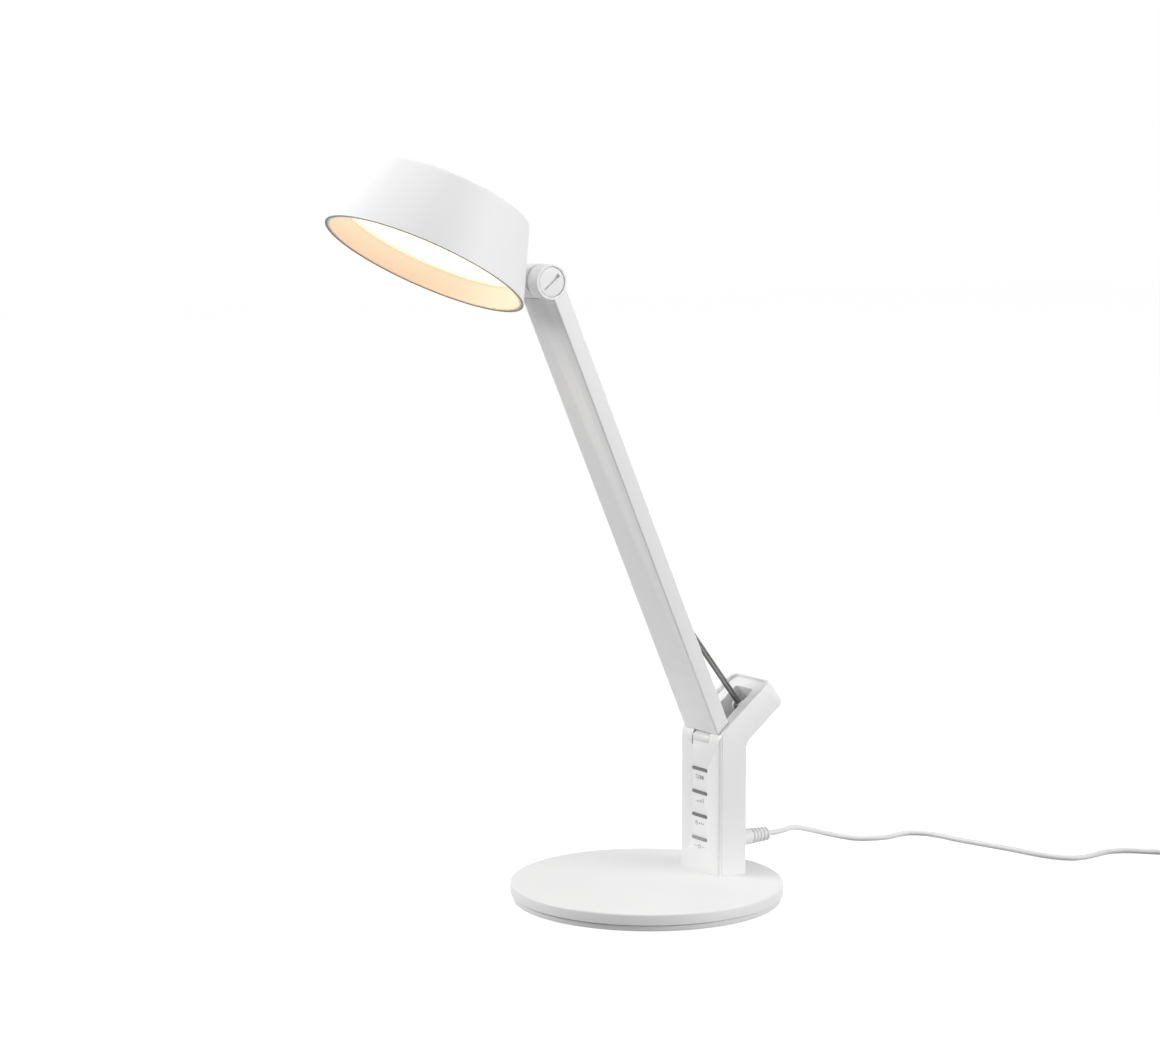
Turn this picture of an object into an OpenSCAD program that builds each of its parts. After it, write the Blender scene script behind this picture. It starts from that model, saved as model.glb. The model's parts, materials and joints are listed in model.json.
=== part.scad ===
// Desk lamp with a round weighted base, a flat spring-balanced arm and a tilting shade.
// Millimetres, +Z up. The origin is the middle of the base's underside. The keys face -Y,
// the arm leans towards -Y and the power lead leaves the upright towards +Y.

/* [Base] */
// Diameter of the base plate
base_d = 160; // [140:1:200]
// Height of the plate's top face above the table
base_h = 10.6; // [9.6:0.1:16]
// Visible height of the plate's wall
skirt_h = 6.6; // [4.6:0.1:7]
// Wall of the base housing
base_wall = 2; // [1.6:0.1:3]
// Rounding of the plate's top edge
base_edge_r = 1.2; // [0.4:0.1:2]
// How far the underside cover sits in from the plate's edge
foot_inset = 1.4; // [0.8:0.1:4]
// Dark seam between the plate's wall and the underside cover
foot_seam = 0.6; // [0.3:0.1:1]
// Thickness of the foam pad under the base
pad_t = 0.8; // [0.6:0.1:1.2]
// Thickness of the steel weight
weight_t = 4.6; // [2:0.1:5]
// Distance of the base screws from the middle
base_screw_r = 60; // [45:1:64]

/* [Upright] */
// Width of the upright
stem_w = 38.5; // [34:0.5:50]
// Depth of the upright, front to back
stem_depth = 20.1; // [19:0.1:26]
// Distance of the upright's front face behind the middle of the base
stem_front_y = 38.2; // [20:0.1:44]
// Height of the front edge of the sloping rim above the table
rim_z = 94.6; // [90:0.1:140]
// Rise of the rear trough from the horizontal, in degrees
trough_rise = 38.5; // [30:0.5:45]
// Length of the trough along its rim
trough_run = 49.5; // [46:0.5:70]
// Depth of the trough at right angles to its rim
trough_depth = 17.1; // [15.5:0.1:22]
// Wall of the upright's casing
stem_wall = 2.2; // [1.6:0.1:3]
// Rounding of the upright's front edges
stem_edge_r = 1.6; // [0.5:0.1:2]
// Rounding of the upright's back edges
stem_back_r = 0.8; // [0.4:0.1:2]
// Rounding of the trough's end corners
trough_corner_r = 8; // [1:0.1:9]
// Thickness of the front panel
panel_t = 2; // [1.4:0.1:2.6]
// How far the slotted insert lies below the trough's rim
insert_drop = 2; // [0.6:0.1:3]
// Width of the slot in the insert, where the rod passes
insert_slot_w = 17; // [13:0.5:22]

/* [Keys] */
// Height of the top key above the table
key_top_z = 72.1; // [66:0.1:72.5]
// Spacing of the keys
key_pitch = 13.95; // [9:0.05:14]
// Length of a key
key_w = 14.6; // [8:0.1:20]
// Height of a key
key_t = 1.8; // [1.6:0.1:3]
// How far a key stands proud of the panel
key_proud = 0.35; // [0.1:0.05:0.8]
// Travel of a key
key_travel = 0.6; // [0.3:0.05:0.7]

/* [Elbow] */
// Distance of the elbow pin behind the upright's front face
elbow_back = 4.3; // [4.2:0.1:6]
// Distance of the elbow pin below the rim's front edge
elbow_drop = 4.3; // [3.5:0.1:7]
// Radius of the arm's knuckle
knuckle_r = 4.2; // [3.4:0.1:4.2]
// Left side of the knuckle, from the middle
knuckle_left = 6.9; // [5:0.1:8]
// Right side of the knuckle, from the middle
knuckle_right = 8.3; // [5:0.1:9]
// Diameter of the elbow pin
elbow_pin_d = 4; // [3:0.1:4.4]
// Thickness of the friction washer
elbow_washer_t = 1.2; // [0.5:0.1:1.6]

/* [Arm] */
// Lean of the arm from the vertical, in degrees
arm_lean = 24; // [20:0.5:35]
// Distance from the elbow pin to the head pivot along the arm
arm_len = 297; // [240:1:360]
// Width of the arm
arm_w = 33.2; // [28:0.2:38]
// Thickness of the arm
arm_t = 9.8; // [9.6:0.1:12]
// How far the arm's front face lies ahead of the elbow pin
arm_front = 1.1; // [0.8:0.1:1.6]
// Gap between the elbow pin and the arm's lower end
arm_end = 5.8; // [5.6:0.1:8]
// Wall of the arm
arm_wall = 1.6; // [1.2:0.1:1.8]
// Rounding of the arm's long edges
arm_edge_r = 0.8; // [0.3:0.1:1.5]
// Width of the rod slot in the arm's rear cover
rod_slot_w = 10.4; // [9.6:0.2:14]
// Lower end of the rod slot, from the elbow pin
rod_slot_low = 43; // [40:1:46]
// Upper end of the rod slot, from the elbow pin
rod_slot_high = 118; // [116:1:124]

/* [Rod and spring] */
// Diameter of the pull rod
rod_d = 3.7; // [2.5:0.1:3.8]
// Length of the pull rod between its pins
rod_len = 106; // [100:0.5:108]
// Lean of the pull rod from the vertical, in degrees
rod_lean = 37.9; // [37:0.1:38.6]
// Position of the rod's lower pin along the trough
rod_pin_run = 31.3; // [30:0.1:34]
// Depth of the rod's lower pin below the rim
rod_pin_depth = 8.8; // [8:0.1:10]
// Diameter of the rod's pins
rod_pin_d = 3; // [2:0.1:3]
// Outer diameter of the balance spring
spring_d = 6; // [4.6:0.1:6.2]
// Wire of the balance spring
spring_wire = 0.9; // [0.6:0.1:1.2]

/* [Head] */
// Tilt of the shade from straight down, in degrees
shade_tilt = 27.5; // [0:0.5:50]
// Diameter of the shade's opening
shade_d = 117.2; // [100:0.2:140]
// Diameter of the shade's top
shade_top_d = 88.4; // [76:0.2:120]
// Height of the shade
shade_h = 42.8; // [38:0.1:60]
// Wall of the shade
shade_wall = 1.6; // [1.2:0.1:2.4]
// Rounding of the shade's top edge
shade_edge_r = 2.4; // [2:0.1:9]
// Distance from the head pivot to the shade's middle line
shade_reach = 68.8; // [68:0.1:90]
// Distance from the head pivot down to the opening's plane
shade_drop = 24.2; // [22:0.1:30]
// How deep the diffuser lies inside the opening
diffuser_depth = 12.6; // [8:0.1:14]
// Radius of the round arm end at the head pivot
boss_r = 9.8; // [9.6:0.1:12]
// How far the head pivot lies behind the elbow pin's line along the arm
boss_back = 1.6; // [0.5:0.1:3]
// Width of the head's knuckle
head_knuckle_w = 12; // [9:0.1:14]
// Diameter of the head pivot's shank
pivot_d = 6; // [4:0.1:6]
// Diameter of the slotted cap on the pivot
cap_d = 16.6; // [14:0.1:17.4]

/* [Power lead] */
// Height of the power socket above the table
jack_z = 26.8; // [25:0.1:28]
// Diameter of the plug's moulded body
plug_d = 9.5; // [8:0.1:11]
// Length of the plug's moulded body
plug_len = 30; // [24:0.5:40]
// Number of ribs at the plug's end
plug_ribs = 5; // [3:1:7]
// Diameter of the lead
cord_d = 3.3; // [2.6:0.1:3.4]
// Mean radius of the stored coil
coil_mean_r = 17.8; // [17:0.1:20]
// Turns in the stored coil
coil_turns = 9.875; // [6.875:1:9.875]
// Length of the adapter's case
adapter_len = 46; // [36:1:60]
// Width of the adapter's case
adapter_w = 40; // [38:1:50]
// Height of the adapter's case
adapter_h = 26; // [24:1:32]

/* [Clearances] */
// Radial gap of a pin that turns in a bore
run_gap = 0.05; // [0.02:0.01:0.08]
// Gap between parts that slide or lie beside each other
slide_gap = 0.15; // [0.1:0.05:0.25]
// Gap between fixed parts
seat_gap = 0.05; // [0.02:0.01:0.1]
// Radial gap of a pin that is fixed in its hole
pin_gap = 0.02; // [0.01:0.01:0.04]
// Gap between the arm's lower end and the upright's side walls
arm_side_gap = 0.4; // [0.3:0.1:1.2]

/* [Hidden] */
$fn = 96;
small_fn = 32;
arc_steps = 8;

white = "#f0f0ee";
pale = "#e2e2e0";
warm_white = "#f6e6cf";
steel = "#8a8c8e";
dark_steel = "#55575a";
dark_grey = "#66686a";
board_green = "#2f6b45";
copper = "#b98a4a";
foam_grey = "#4a4a4a";

// ---- base levels
base_r = base_d / 2;
skirt_z = base_h - skirt_h;
foot_r = base_r - foot_inset;
foot_top = skirt_z - foot_seam;
foot_lift = pad_t / 2;
plate_t = 1.6;
plate_top = pad_t + plate_t;
roof_t = 2;
roof_under = base_h - roof_t;
lip_out = base_r - base_wall - slide_gap;
lip_w = 1.5;
lip_top = skirt_z + 1.4;
pad_r = foot_r - 5.6;
cover_boss_r = 3.2;
bottom_boss_r = 4.4;
boss_gap_z = plate_top + 1.8;
weight_hole_r = 5;
weight_slot_r = 4;
screw_shaft_r = 1.45;
screw_head_r = 2.7;
screw_head_h = 1.5;
base_screw_angles = [45, 135, 225, 315];

// ---- upright
inner_half = stem_w / 2 - stem_wall;
back_y = stem_front_y + stem_depth;
panel_back = stem_front_y + panel_t;
shell_front = panel_back + 0.25;
shoulder_r = 12;
rim_end_r = 3.5;
heel_r = 4;
bend_r = 4;
end_wall_t = stem_wall + 0.2;
corner_in_r = max(trough_corner_r - stem_wall, 0.5);
slope = [cos(trough_rise), sin(trough_rise)];
sink = [sin(trough_rise), -cos(trough_rise)];
rim_front = [stem_front_y, rim_z];
function trough_at(run, depth) = rim_front + run * slope + depth * sink;
function run_at(y, depth) = (y - stem_front_y - depth * sink[0]) / slope[0];
floor_depth = trough_depth - stem_wall;

elbow = [stem_front_y + elbow_back, rim_z - elbow_drop];
wall_top_z = elbow[1] + 3;
barrel_gap = 0.3;
cheek_r = arm_end - barrel_gap;
notch_left = knuckle_left + elbow_washer_t + 0.1;
notch_right = knuckle_right + 0.3;
notch_z = elbow[1] - knuckle_r - 0.3;
block_bottom = elbow[1] - 12.3;
block_bridge = 3.2;

insert_t = 1.6;
insert_clear = 6.6;
insert_land = 7;
insert_slot_r = 2;
insert_half = inner_half - seat_gap;
insert_end = trough_run - end_wall_t - seat_gap;
skirt_rib = 1.5;

screw_y = stem_front_y + stem_depth / 2;
stem_screw_x = 11;
foot_block_h = 7.4;

// ---- keys and board
key_names = 4;
key_slot_gap = 0.15;
flange_y = panel_back + 0.15;
flange_t = 1;
flange_out = 1.4;
switch_y = flange_y + flange_t + key_travel + 0.15;
board_y = switch_y + 2.4;
board_t = 1.6;
board_top = block_bottom - 0.8;
board_bottom = jack_z - 6;
post_r = 1.5;
post_x = inner_half - post_r - 0.5;
jack_box = 11;
jack_nose_r = 5;
jack_bore_r = 2.85;
jack_depth = 9.5;

// ---- arm, in its own frame: +Z along the arm, -Y to its front, origin on the elbow pin
arm_rear = arm_t - arm_front;
arm_half = arm_w / 2;
neck_half = min(arm_half, inner_half - arm_side_gap);
neck_top = arm_end + 14;
arm_mid_y = (arm_rear - arm_front) / 2;
web_y = arm_wall - arm_front;
cover_y = arm_rear - arm_wall;
room_half = neck_half - arm_wall;
end_plate = 2;
room_low = arm_end + end_plate;
room_high = arm_len - boss_r - 3;
shank_top = rod_slot_low - 7;
ledge = 1;
rail_in = 6.3;
rail_w = 1.2;
rail_y = web_y + 2.4;
rail_low = 60;
rail_past_slot = 32;
rail_high = rod_slot_high + rail_past_slot;
cheek_in = head_knuckle_w / 2 + 0.85;
head_knuckle_r = boss_r - 0.3;
cap_r = cap_d / 2;
cap_t = 2.4;
cap_well = cap_t + 0.2;
cap_gap = 0.4;
cap_slot_angle = 39;
cap_slot_len = 12.4;
cap_slot_w = 1.8;

// ---- rod, slider and spring
rod_foot = trough_at(rod_pin_run, rod_pin_depth);
rod_head = rod_foot + rod_len * [-sin(rod_lean), cos(rod_lean)];
function to_arm(p) = let (v = p - elbow)
  [v[0] * cos(arm_lean) + v[1] * sin(arm_lean), -v[0] * sin(arm_lean) + v[1] * cos(arm_lean)];
hook_at = to_arm(rod_head);
hook_pin_r = 1.2;
hook_pin_half = 4.6;
hook_inner = 2.5;
hook_outer = 4.3;
slider_half = rail_in - slide_gap;
slider_front = web_y + slide_gap;
slider_back = cover_y - 0.3;
slider_low = hook_at[1] + 4.2;
slider_high = slider_low + 10;
spring_y = (web_y + cover_y) / 2;
anchor_low = room_high - 12;
eye_r = 3.2;
eye_half = 2.2;
ear_t = 1.4;
ear_in = eye_half + 0.4;
bracket_r = 3.6;
bracket_floor_t = 1.2;

// ---- head, in the frame of the shade: origin in the middle of the opening, +Z up through it
function shade_r(z) = (shade_d - (shade_d - shade_top_d) * z / shade_h) / 2;
shade_top_t = 2;
reflector_gap = 0.2;
reflector_t = 1;
reflector_low = 0.5;
diffuser_t = 1.8;
shelf_w = 0.5;
shelf_t = 1;
board_under = diffuser_depth + diffuser_t + 3.2;
led_board_t = 1.6;
led_h = 0.7;
sink_under = board_under + led_board_t + seat_gap;
sink_t = 2;
sink_r = shade_r(sink_under) - shade_wall - reflector_gap - reflector_t / 2;
led_board_r = sink_r - 3;
shade_boss_r = 3.2;
shade_screw_ring = 31;
shade_screw_len = 12;
pilot_r = 1.2;
neck_screw_x = 3.4;
neck_screw_z = shade_drop + 1.4;
neck_screw_tip_gap = 1.88;
neck_foot_half = 3.2;
clamp_screw_lean = 42;
clamp_screw_proud = 0.3;

// ---- power lead
plug_rib_pitch = 2.6;
plug_rib_w = 1.5;
plug_rib_depth = 0.8;
plug_end_r = plug_d / 2 - 0.75;
plug_end_y = back_y + seat_gap + plug_len;
barrel_r = 2.75;
cord_r = cord_d / 2;
cord_z = cord_r + 0.1;
coil_gap = 0.5;
coil_pitch = cord_d + coil_gap;
coil_layers = 4;
coil_lift = 0.6;
coil_span = coil_pitch * coil_turns / coil_layers;
coil_out = coil_mean_r + coil_span / 2;
coil_in = coil_mean_r - coil_span / 2;
run_heading = 45;
coil_sweep = 360 * coil_turns;
loop_rings = 24;
// The lead's way from the plug, down to the table and along it, as the lead lies
route = [
  [0, plug_end_y, jack_z], [0, plug_end_y + 7, jack_z], [-3, 104, 26.4], [-10, 113, 25],
  [-18, 124, 22.5], [-26, 136, 19], [-34, 148, 15], [-41, 160, 11], [-46, 172, 7],
  [-47, 182, 4], [-43, 192, 2], [-38, 201, cord_z], [-35, 211, cord_z], [-36, 221, cord_z],
  [-36, 230, cord_z], [-30, 238, cord_z], [-20, 242, cord_z], [-8, 244, cord_z],
  [5, 247, cord_z], [19, 251, cord_z], [34, 255, cord_z], [49, 258, cord_z],
  [62, 262, cord_z], [72, 269, cord_z], [75, 279, cord_z], [74, 290, cord_z],
  [73, 301, cord_z], [77, 312, cord_z], [86, 321, cord_z], [95, 330, cord_z],
  [105, 340, cord_z + 0.3], [112, 347, cord_z + coil_lift - 0.1], [115, 350, cord_r + coil_lift]
];
run_end = route[len(route) - 1];
heading = [cos(run_heading), sin(run_heading), 0];
coil_start = run_end + seat_gap * heading;
coil_middle = coil_start + cord_d * heading + coil_out * [-sin(run_heading), cos(run_heading), 0];
tail_len = 24;
relief_len = 14;
relief_r = 3.4;
tie_t = 0.5;
tie_w = 6;
tie_angle = 100;
nose_len = 14;
nose_w = 35;
nose_h = 13.8;
prong_len = 19;
prong_r = 2;
prong_gap = 18.6;
face_t = 3;
adapter_r = 5;

// ---- outlines
function unit(v) = v / norm(v);
// Arc that rounds the corner b between a and c
function corner(a, b, c, r) =
  let (
    u = unit(a - b), w = unit(c - b), half = acos(u * w) / 2,
    mid = b + unit(u + w) * r / sin(half),
    s = b + u * r / tan(half) - mid, e = b + w * r / tan(half) - mid,
    a0 = atan2(s[1], s[0]), turn = atan2(s[0] * e[1] - s[1] * e[0], s * e)
  )
  [for (i = [0:arc_steps]) mid + r * [cos(a0 + turn * i / arc_steps), sin(a0 + turn * i / arc_steps)]];
// Closed outline whose corners are rounded by their own radii; each entry is [point, radius]
function rounded(p) = [
  for (i = [0:len(p) - 1])
    let (a = p[(i + len(p) - 1) % len(p)][0], b = p[i][0], c = p[(i + 1) % len(p)][0])
    each (p[i][1] > 0 ? corner(a, b, c, p[i][1]) : [b])
];

module rounded_box(w, h, r) {
  square([w - 2 * r, h], center = true);
  square([w, h - 2 * r], center = true);
  for (x = [-1, 1], y = [-1, 1]) translate([x * (w / 2 - r), y * (h / 2 - r)]) circle(r, $fn = small_fn);
}

module stadium(w, h) {
  square([w - h, h], center = true);
  for (x = [-1, 1]) translate([x * (w - h) / 2, 0]) circle(h / 2, $fn = small_fn);
}

// Extrudes an outline drawn in Y and Z between x0 and x1
module along_x(x0, x1) {
  translate([x0, 0, 0]) rotate([90, 0, 90]) linear_extrude(x1 - x0) children();
}

// A cylinder along X between x0 and x1, about the point [y, z]
module x_rod(x0, x1, at, r, fn = $fn) {
  translate([x0, at[0], at[1]]) rotate([0, 90, 0]) cylinder(r = r, h = x1 - x0, $fn = fn);
}

// A cylinder along Y between y0 and y1
module y_rod(y0, y1, x, z, r, fn = small_fn) {
  translate([x, y0, z]) rotate([-90, 0, 0]) cylinder(r = r, h = y1 - y0, $fn = fn);
}

module block(low, high) {
  translate(low) cube(high - low);
}

module trough_frame() {
  translate([0, rim_front[0], rim_front[1]]) rotate([trough_rise, 0, 0]) children();
}

module elbow_frame() {
  translate([0, elbow[0], elbow[1]]) rotate([arm_lean, 0, 0]) children();
}

module pivot_frame() {
  elbow_frame() translate([0, boss_back, arm_len]) rotate([-arm_lean, 0, 0]) children();
}

module head_frame() {
  pivot_frame() rotate([-shade_tilt, 0, 0]) children();
}

module shade_frame() {
  head_frame() translate([0, -shade_reach, -shade_drop]) children();
}

// ---- base
module base_screw_places() {
  for (a = base_screw_angles) rotate(a) translate([base_screw_r, 0, 0]) children();
}

module stem_screw_places() {
  for (x = [-1, 1]) translate([x * stem_screw_x, screw_y, 0]) children();
}

module base_cover() {
  color(white) difference() {
    union() {
      rotate_extrude() polygon(rounded([
        [[0, roof_under], 0], [[base_r - base_wall, roof_under], 0], [[base_r - base_wall, skirt_z], 0],
        [[base_r, skirt_z], 0], [[base_r, base_h], base_edge_r], [[0, base_h], 0]
      ]));
      base_screw_places() translate([0, 0, boss_gap_z + seat_gap])
        cylinder(r = cover_boss_r, h = roof_under - boss_gap_z, $fn = small_fn);
    }
    base_screw_places() translate([0, 0, skirt_z - 1])
      cylinder(r = screw_shaft_r + run_gap, h = roof_under - skirt_z + 0.4, $fn = small_fn);
    stem_screw_places() translate([0, 0, roof_under - 1])
      cylinder(r = screw_shaft_r + slide_gap, h = roof_t + 2, $fn = small_fn);
  }
}

module base_weight() {
  color(steel) difference() {
    translate([0, 0, plate_top + seat_gap]) cylinder(r = lip_out - lip_w - slide_gap, h = weight_t);
    base_screw_places() cylinder(r = weight_hole_r, h = base_h, $fn = small_fn);
    stem_screw_places() cylinder(r = weight_slot_r, h = base_h, $fn = small_fn);
  }
}

module base_bottom() {
  color(pale) difference() {
    union() {
      rotate_extrude() polygon([
        [0, pad_t], [pad_r + slide_gap, pad_t], [pad_r + slide_gap, foot_lift], [foot_r, foot_lift],
        [foot_r, foot_top], [lip_out, foot_top], [lip_out, lip_top], [lip_out - lip_w, lip_top],
        [lip_out - lip_w, plate_top], [0, plate_top]
      ]);
      base_screw_places() translate([0, 0, pad_t])
        cylinder(r = bottom_boss_r, h = boss_gap_z - pad_t, $fn = small_fn);
    }
    base_screw_places() {
      cylinder(r = screw_head_r + slide_gap, h = pad_t + screw_head_h + seat_gap, $fn = small_fn);
      cylinder(r = screw_shaft_r + slide_gap, h = base_h, $fn = small_fn);
    }
  }
}

module base_pad() {
  color(foam_grey) cylinder(r = pad_r, h = pad_t);
}

module pan_screw(shaft) {
  cylinder(r = screw_head_r, h = screw_head_h, $fn = small_fn);
  cylinder(r = screw_shaft_r, h = screw_head_h + shaft, $fn = small_fn);
}

module base_screws() {
  shaft = roof_under - pad_t - screw_head_h - 1.4;
  color(steel) base_screw_places() translate([0, 0, pad_t + seat_gap]) pan_screw(shaft);
}

// ---- upright
// Cuts the corner at the origin, between the faces X = 0 and Y = 0 of a body on their negative side
module edge_cut(r) {
  polygon([
    [1, -r], [1, 1], [-r, 1],
    for (i = [0:arc_steps]) let (a = 90 * i / arc_steps) [-r + r * sin(a), -r + r * cos(a)]
  ]);
}

module stem_solid() {
  heel = trough_at(trough_run, trough_depth);
  bend_run = run_at(back_y, trough_depth);
  reach = bend_r * tan((90 - trough_rise) / 2);
  bend = trough_at(bend_run, trough_depth);
  bend_low = bend[1] - reach;
  difference() {
    along_x(-stem_w / 2, stem_w / 2) polygon(rounded([
      [[stem_front_y, base_h], 0], [rim_front, shoulder_r], [trough_at(trough_run, 0), rim_end_r],
      [heel, heel_r], [bend, bend_r], [[back_y, base_h], 0]
    ]));
    for (side = [0, 1]) mirror([side, 0, 0]) {
      translate([stem_w / 2, stem_front_y, base_h - 1])
        mirror([0, 1, 0]) linear_extrude(rim_z) edge_cut(stem_edge_r);
      translate([stem_w / 2, back_y, base_h - 1])
        linear_extrude(bend_low - base_h + 1) edge_cut(stem_back_r);
      trough_frame() {
        translate([stem_w / 2, bend_run + reach, -trough_depth]) rotate([-90, 0, 0])
          linear_extrude(trough_run) edge_cut(stem_back_r);
        translate([stem_w / 2, trough_run, -trough_depth - 1])
          linear_extrude(trough_depth + 2) edge_cut(trough_corner_r);
      }
    }
  }
}

// The trough's end corners, rounded inside the wall
module trough_corners(half, end, r) {
  trough_frame() for (side = [0, 1]) mirror([side, 0, 0])
    translate([half, end, -trough_depth]) linear_extrude(trough_depth + stem_w) edge_cut(r);
}

module stem_shell() {
  inner_bend = [back_y - stem_wall, trough_at(run_at(back_y - stem_wall, floor_depth), floor_depth)[1]];
  color(white) difference() {
    stem_solid();
    block([-stem_w, 0, 0], [stem_w, shell_front, wall_top_z - 1]);
    block([-stem_w, 0, wall_top_z - 1.01], [stem_w, shell_front, rim_z + stem_w]);
    difference() {
      along_x(-inner_half, inner_half) polygon([
        [stem_front_y - 1, base_h - 1], [back_y - stem_wall, base_h - 1], inner_bend,
        trough_at(trough_run - end_wall_t, floor_depth), trough_at(trough_run - end_wall_t, -9),
        trough_at(-9, -9)
      ]);
      trough_corners(inner_half, trough_run - end_wall_t, corner_in_r);
    }
    y_rod(back_y - stem_wall - 1, back_y + 1, 0, jack_z, jack_nose_r + slide_gap);
  }
}

module key_row() {
  for (i = [0:key_names - 1]) translate([0, 0, key_top_z - i * key_pitch]) children();
}

module stem_front() {
  color(white) difference() {
    union() {
      intersection() {
        stem_solid();
        block([-stem_w, stem_front_y - 1, 0], [stem_w, panel_back, rim_z + stem_w]);
      }
      for (x = [-post_x, post_x], z = [board_bottom + 4, board_top - 3])
        y_rod(panel_back - 0.5, board_y - seat_gap, x, z, post_r);
    }
    difference() {
      block([-inner_half, stem_front_y - 1, elbow[1]], [inner_half, panel_back + 1, rim_z + stem_w]);
      x_rod(-stem_w, stem_w, elbow, cheek_r);
    }
    block([-notch_left, stem_front_y - 1, notch_z], [-knuckle_left, panel_back + 1, rim_z + stem_w]);
    block([-notch_left, stem_front_y - 1, elbow[1]], [notch_right, panel_back + 1, rim_z + stem_w]);
    x_rod(-knuckle_left - 0.1, notch_right, elbow, knuckle_r + 0.3);
    key_row() translate([0, stem_front_y - 1, 0]) rotate([-90, 0, 0])
      linear_extrude(panel_t + 2) stadium(key_w + 2 * key_slot_gap, key_t + 2 * key_slot_gap);
  }
}

module stem_foot() {
  color(steel) difference() {
    block([-inner_half + seat_gap, shell_front, base_h + seat_gap],
          [inner_half - seat_gap, back_y - stem_wall - seat_gap, base_h + foot_block_h]);
    stem_screw_places() translate([0, 0, base_h - 1])
      cylinder(r = screw_shaft_r + run_gap, h = foot_block_h + 2, $fn = small_fn);
  }
}

module stem_screws() {
  color(steel) stem_screw_places() translate([0, 0, roof_under - screw_head_h - seat_gap])
    pan_screw(roof_t + foot_block_h - 1.5);
}

module trough_insert() {
  start = run_at(elbow[0] + insert_clear, insert_drop);
  slot_end = insert_end - insert_land;
  side_w = insert_half - insert_slot_w / 2 - skirt_rib;
  color(white) difference() {
    trough_frame() difference() {
      block([-insert_half, start, -floor_depth + seat_gap], [insert_half, insert_end, -insert_drop]);
      for (side = [-1, 1]) translate([side * (insert_half + insert_slot_w / 2 + skirt_rib) / 2, 0, 0])
        block([-side_w / 2 - 0.01, start - 1, -floor_depth - 1],
              [side_w / 2 + 0.01, insert_end + 1, -insert_drop - insert_t]);
      translate([0, (start + slot_end) / 2 - 4, -floor_depth - 1]) linear_extrude(floor_depth + 2)
        rounded_box(insert_slot_w, slot_end - start + 8, insert_slot_r);
    }
    trough_corners(insert_half, insert_end, corner_in_r - seat_gap);
  }
}

module rod_bracket() {
  foot_half = ear_in + ear_t;
  color(pale) trough_frame() translate([0, rod_pin_run, 0]) difference() {
    union() {
      block([-foot_half - 2, -6, -floor_depth + seat_gap],
            [foot_half + 2, 6, -floor_depth + bracket_floor_t]);
      for (side = [-1, 1]) translate([side * (ear_in + ear_t / 2) - ear_t / 2, 0, 0]) {
        x_rod(0, ear_t, [0, -rod_pin_depth], bracket_r, small_fn);
        block([0, -bracket_r, -floor_depth + seat_gap], [ear_t, bracket_r, -rod_pin_depth]);
      }
    }
    x_rod(-10, 10, [0, -rod_pin_depth], rod_pin_d / 2 + pin_gap, small_fn);
  }
}

module rod_pin() {
  half = ear_in + ear_t + 0.8;
  color(steel) x_rod(-half, half, rod_foot, rod_pin_d / 2, small_fn);
}

module hinge_block() {
  color(pale) difference() {
    intersection() {
      union() {
        block([-insert_half, shell_front, block_bottom],
              [insert_half, back_y - stem_wall - seat_gap, elbow[1]]);
        x_rod(-insert_half, insert_half, elbow, cheek_r);
      }
      block([-stem_w, shell_front, 0], [stem_w, back_y, rim_z + stem_w]);
    }
    block([-notch_left, 0, block_bottom + block_bridge], [notch_right, back_y + 1, rim_z + stem_w]);
    x_rod(-stem_w, stem_w, elbow, elbow_pin_d / 2 + pin_gap, small_fn);
  }
}

module elbow_pin() {
  color(steel) x_rod(-insert_half, insert_half, elbow, elbow_pin_d / 2, small_fn);
}

module elbow_washer() {
  color(steel) difference() {
    x_rod(-knuckle_left - elbow_washer_t - 0.05, -knuckle_left - 0.05, elbow, knuckle_r - 0.3, small_fn);
    x_rod(-stem_w, stem_w, elbow, elbow_pin_d / 2 + run_gap, small_fn);
  }
}

// ---- keys and electronics in the upright
module key_board() {
  half = inner_half - 0.6;
  color(board_green) block([-half, board_y, board_bottom], [half, board_y + board_t, board_top]);
}

module key_switches() {
  color(dark_grey) key_row() {
    block([-3, board_y - 1.8, -3], [3, board_y - seat_gap, 3]);
    y_rod(switch_y, board_y - 1, 0, 0, 1.7);
  }
}

module key_cap(index) {
  color(dark_grey) translate([0, 0, key_top_z - index * key_pitch]) {
    translate([0, stem_front_y - key_proud, 0]) rotate([-90, 0, 0])
      linear_extrude(flange_y + 0.5 - stem_front_y + key_proud) stadium(key_w, key_t);
    block([-key_w / 2 - flange_out, flange_y, -key_t / 2 - flange_out],
          [key_w / 2 + flange_out, flange_y + flange_t, key_t / 2 + flange_out]);
  }
}

module key_colour() { key_cap(0); }

module key_dimmer() { key_cap(1); }

module key_timer() { key_cap(2); }

module key_power() { key_cap(3); }

module dc_jack() {
  front = board_y + board_t + seat_gap;
  color(dark_grey) {
    difference() {
      union() {
        block([-jack_box / 2, front, jack_z - jack_box / 2],
              [jack_box / 2, back_y - stem_wall - seat_gap, jack_z + jack_box / 2]);
        y_rod(back_y - stem_wall - 1, back_y, 0, jack_z, jack_nose_r);
      }
      y_rod(back_y - jack_depth, back_y + 1, 0, jack_z, jack_bore_r);
    }
    y_rod(back_y - jack_depth - 0.5, back_y - 2.5, 0, jack_z, 0.8);
  }
}

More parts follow.
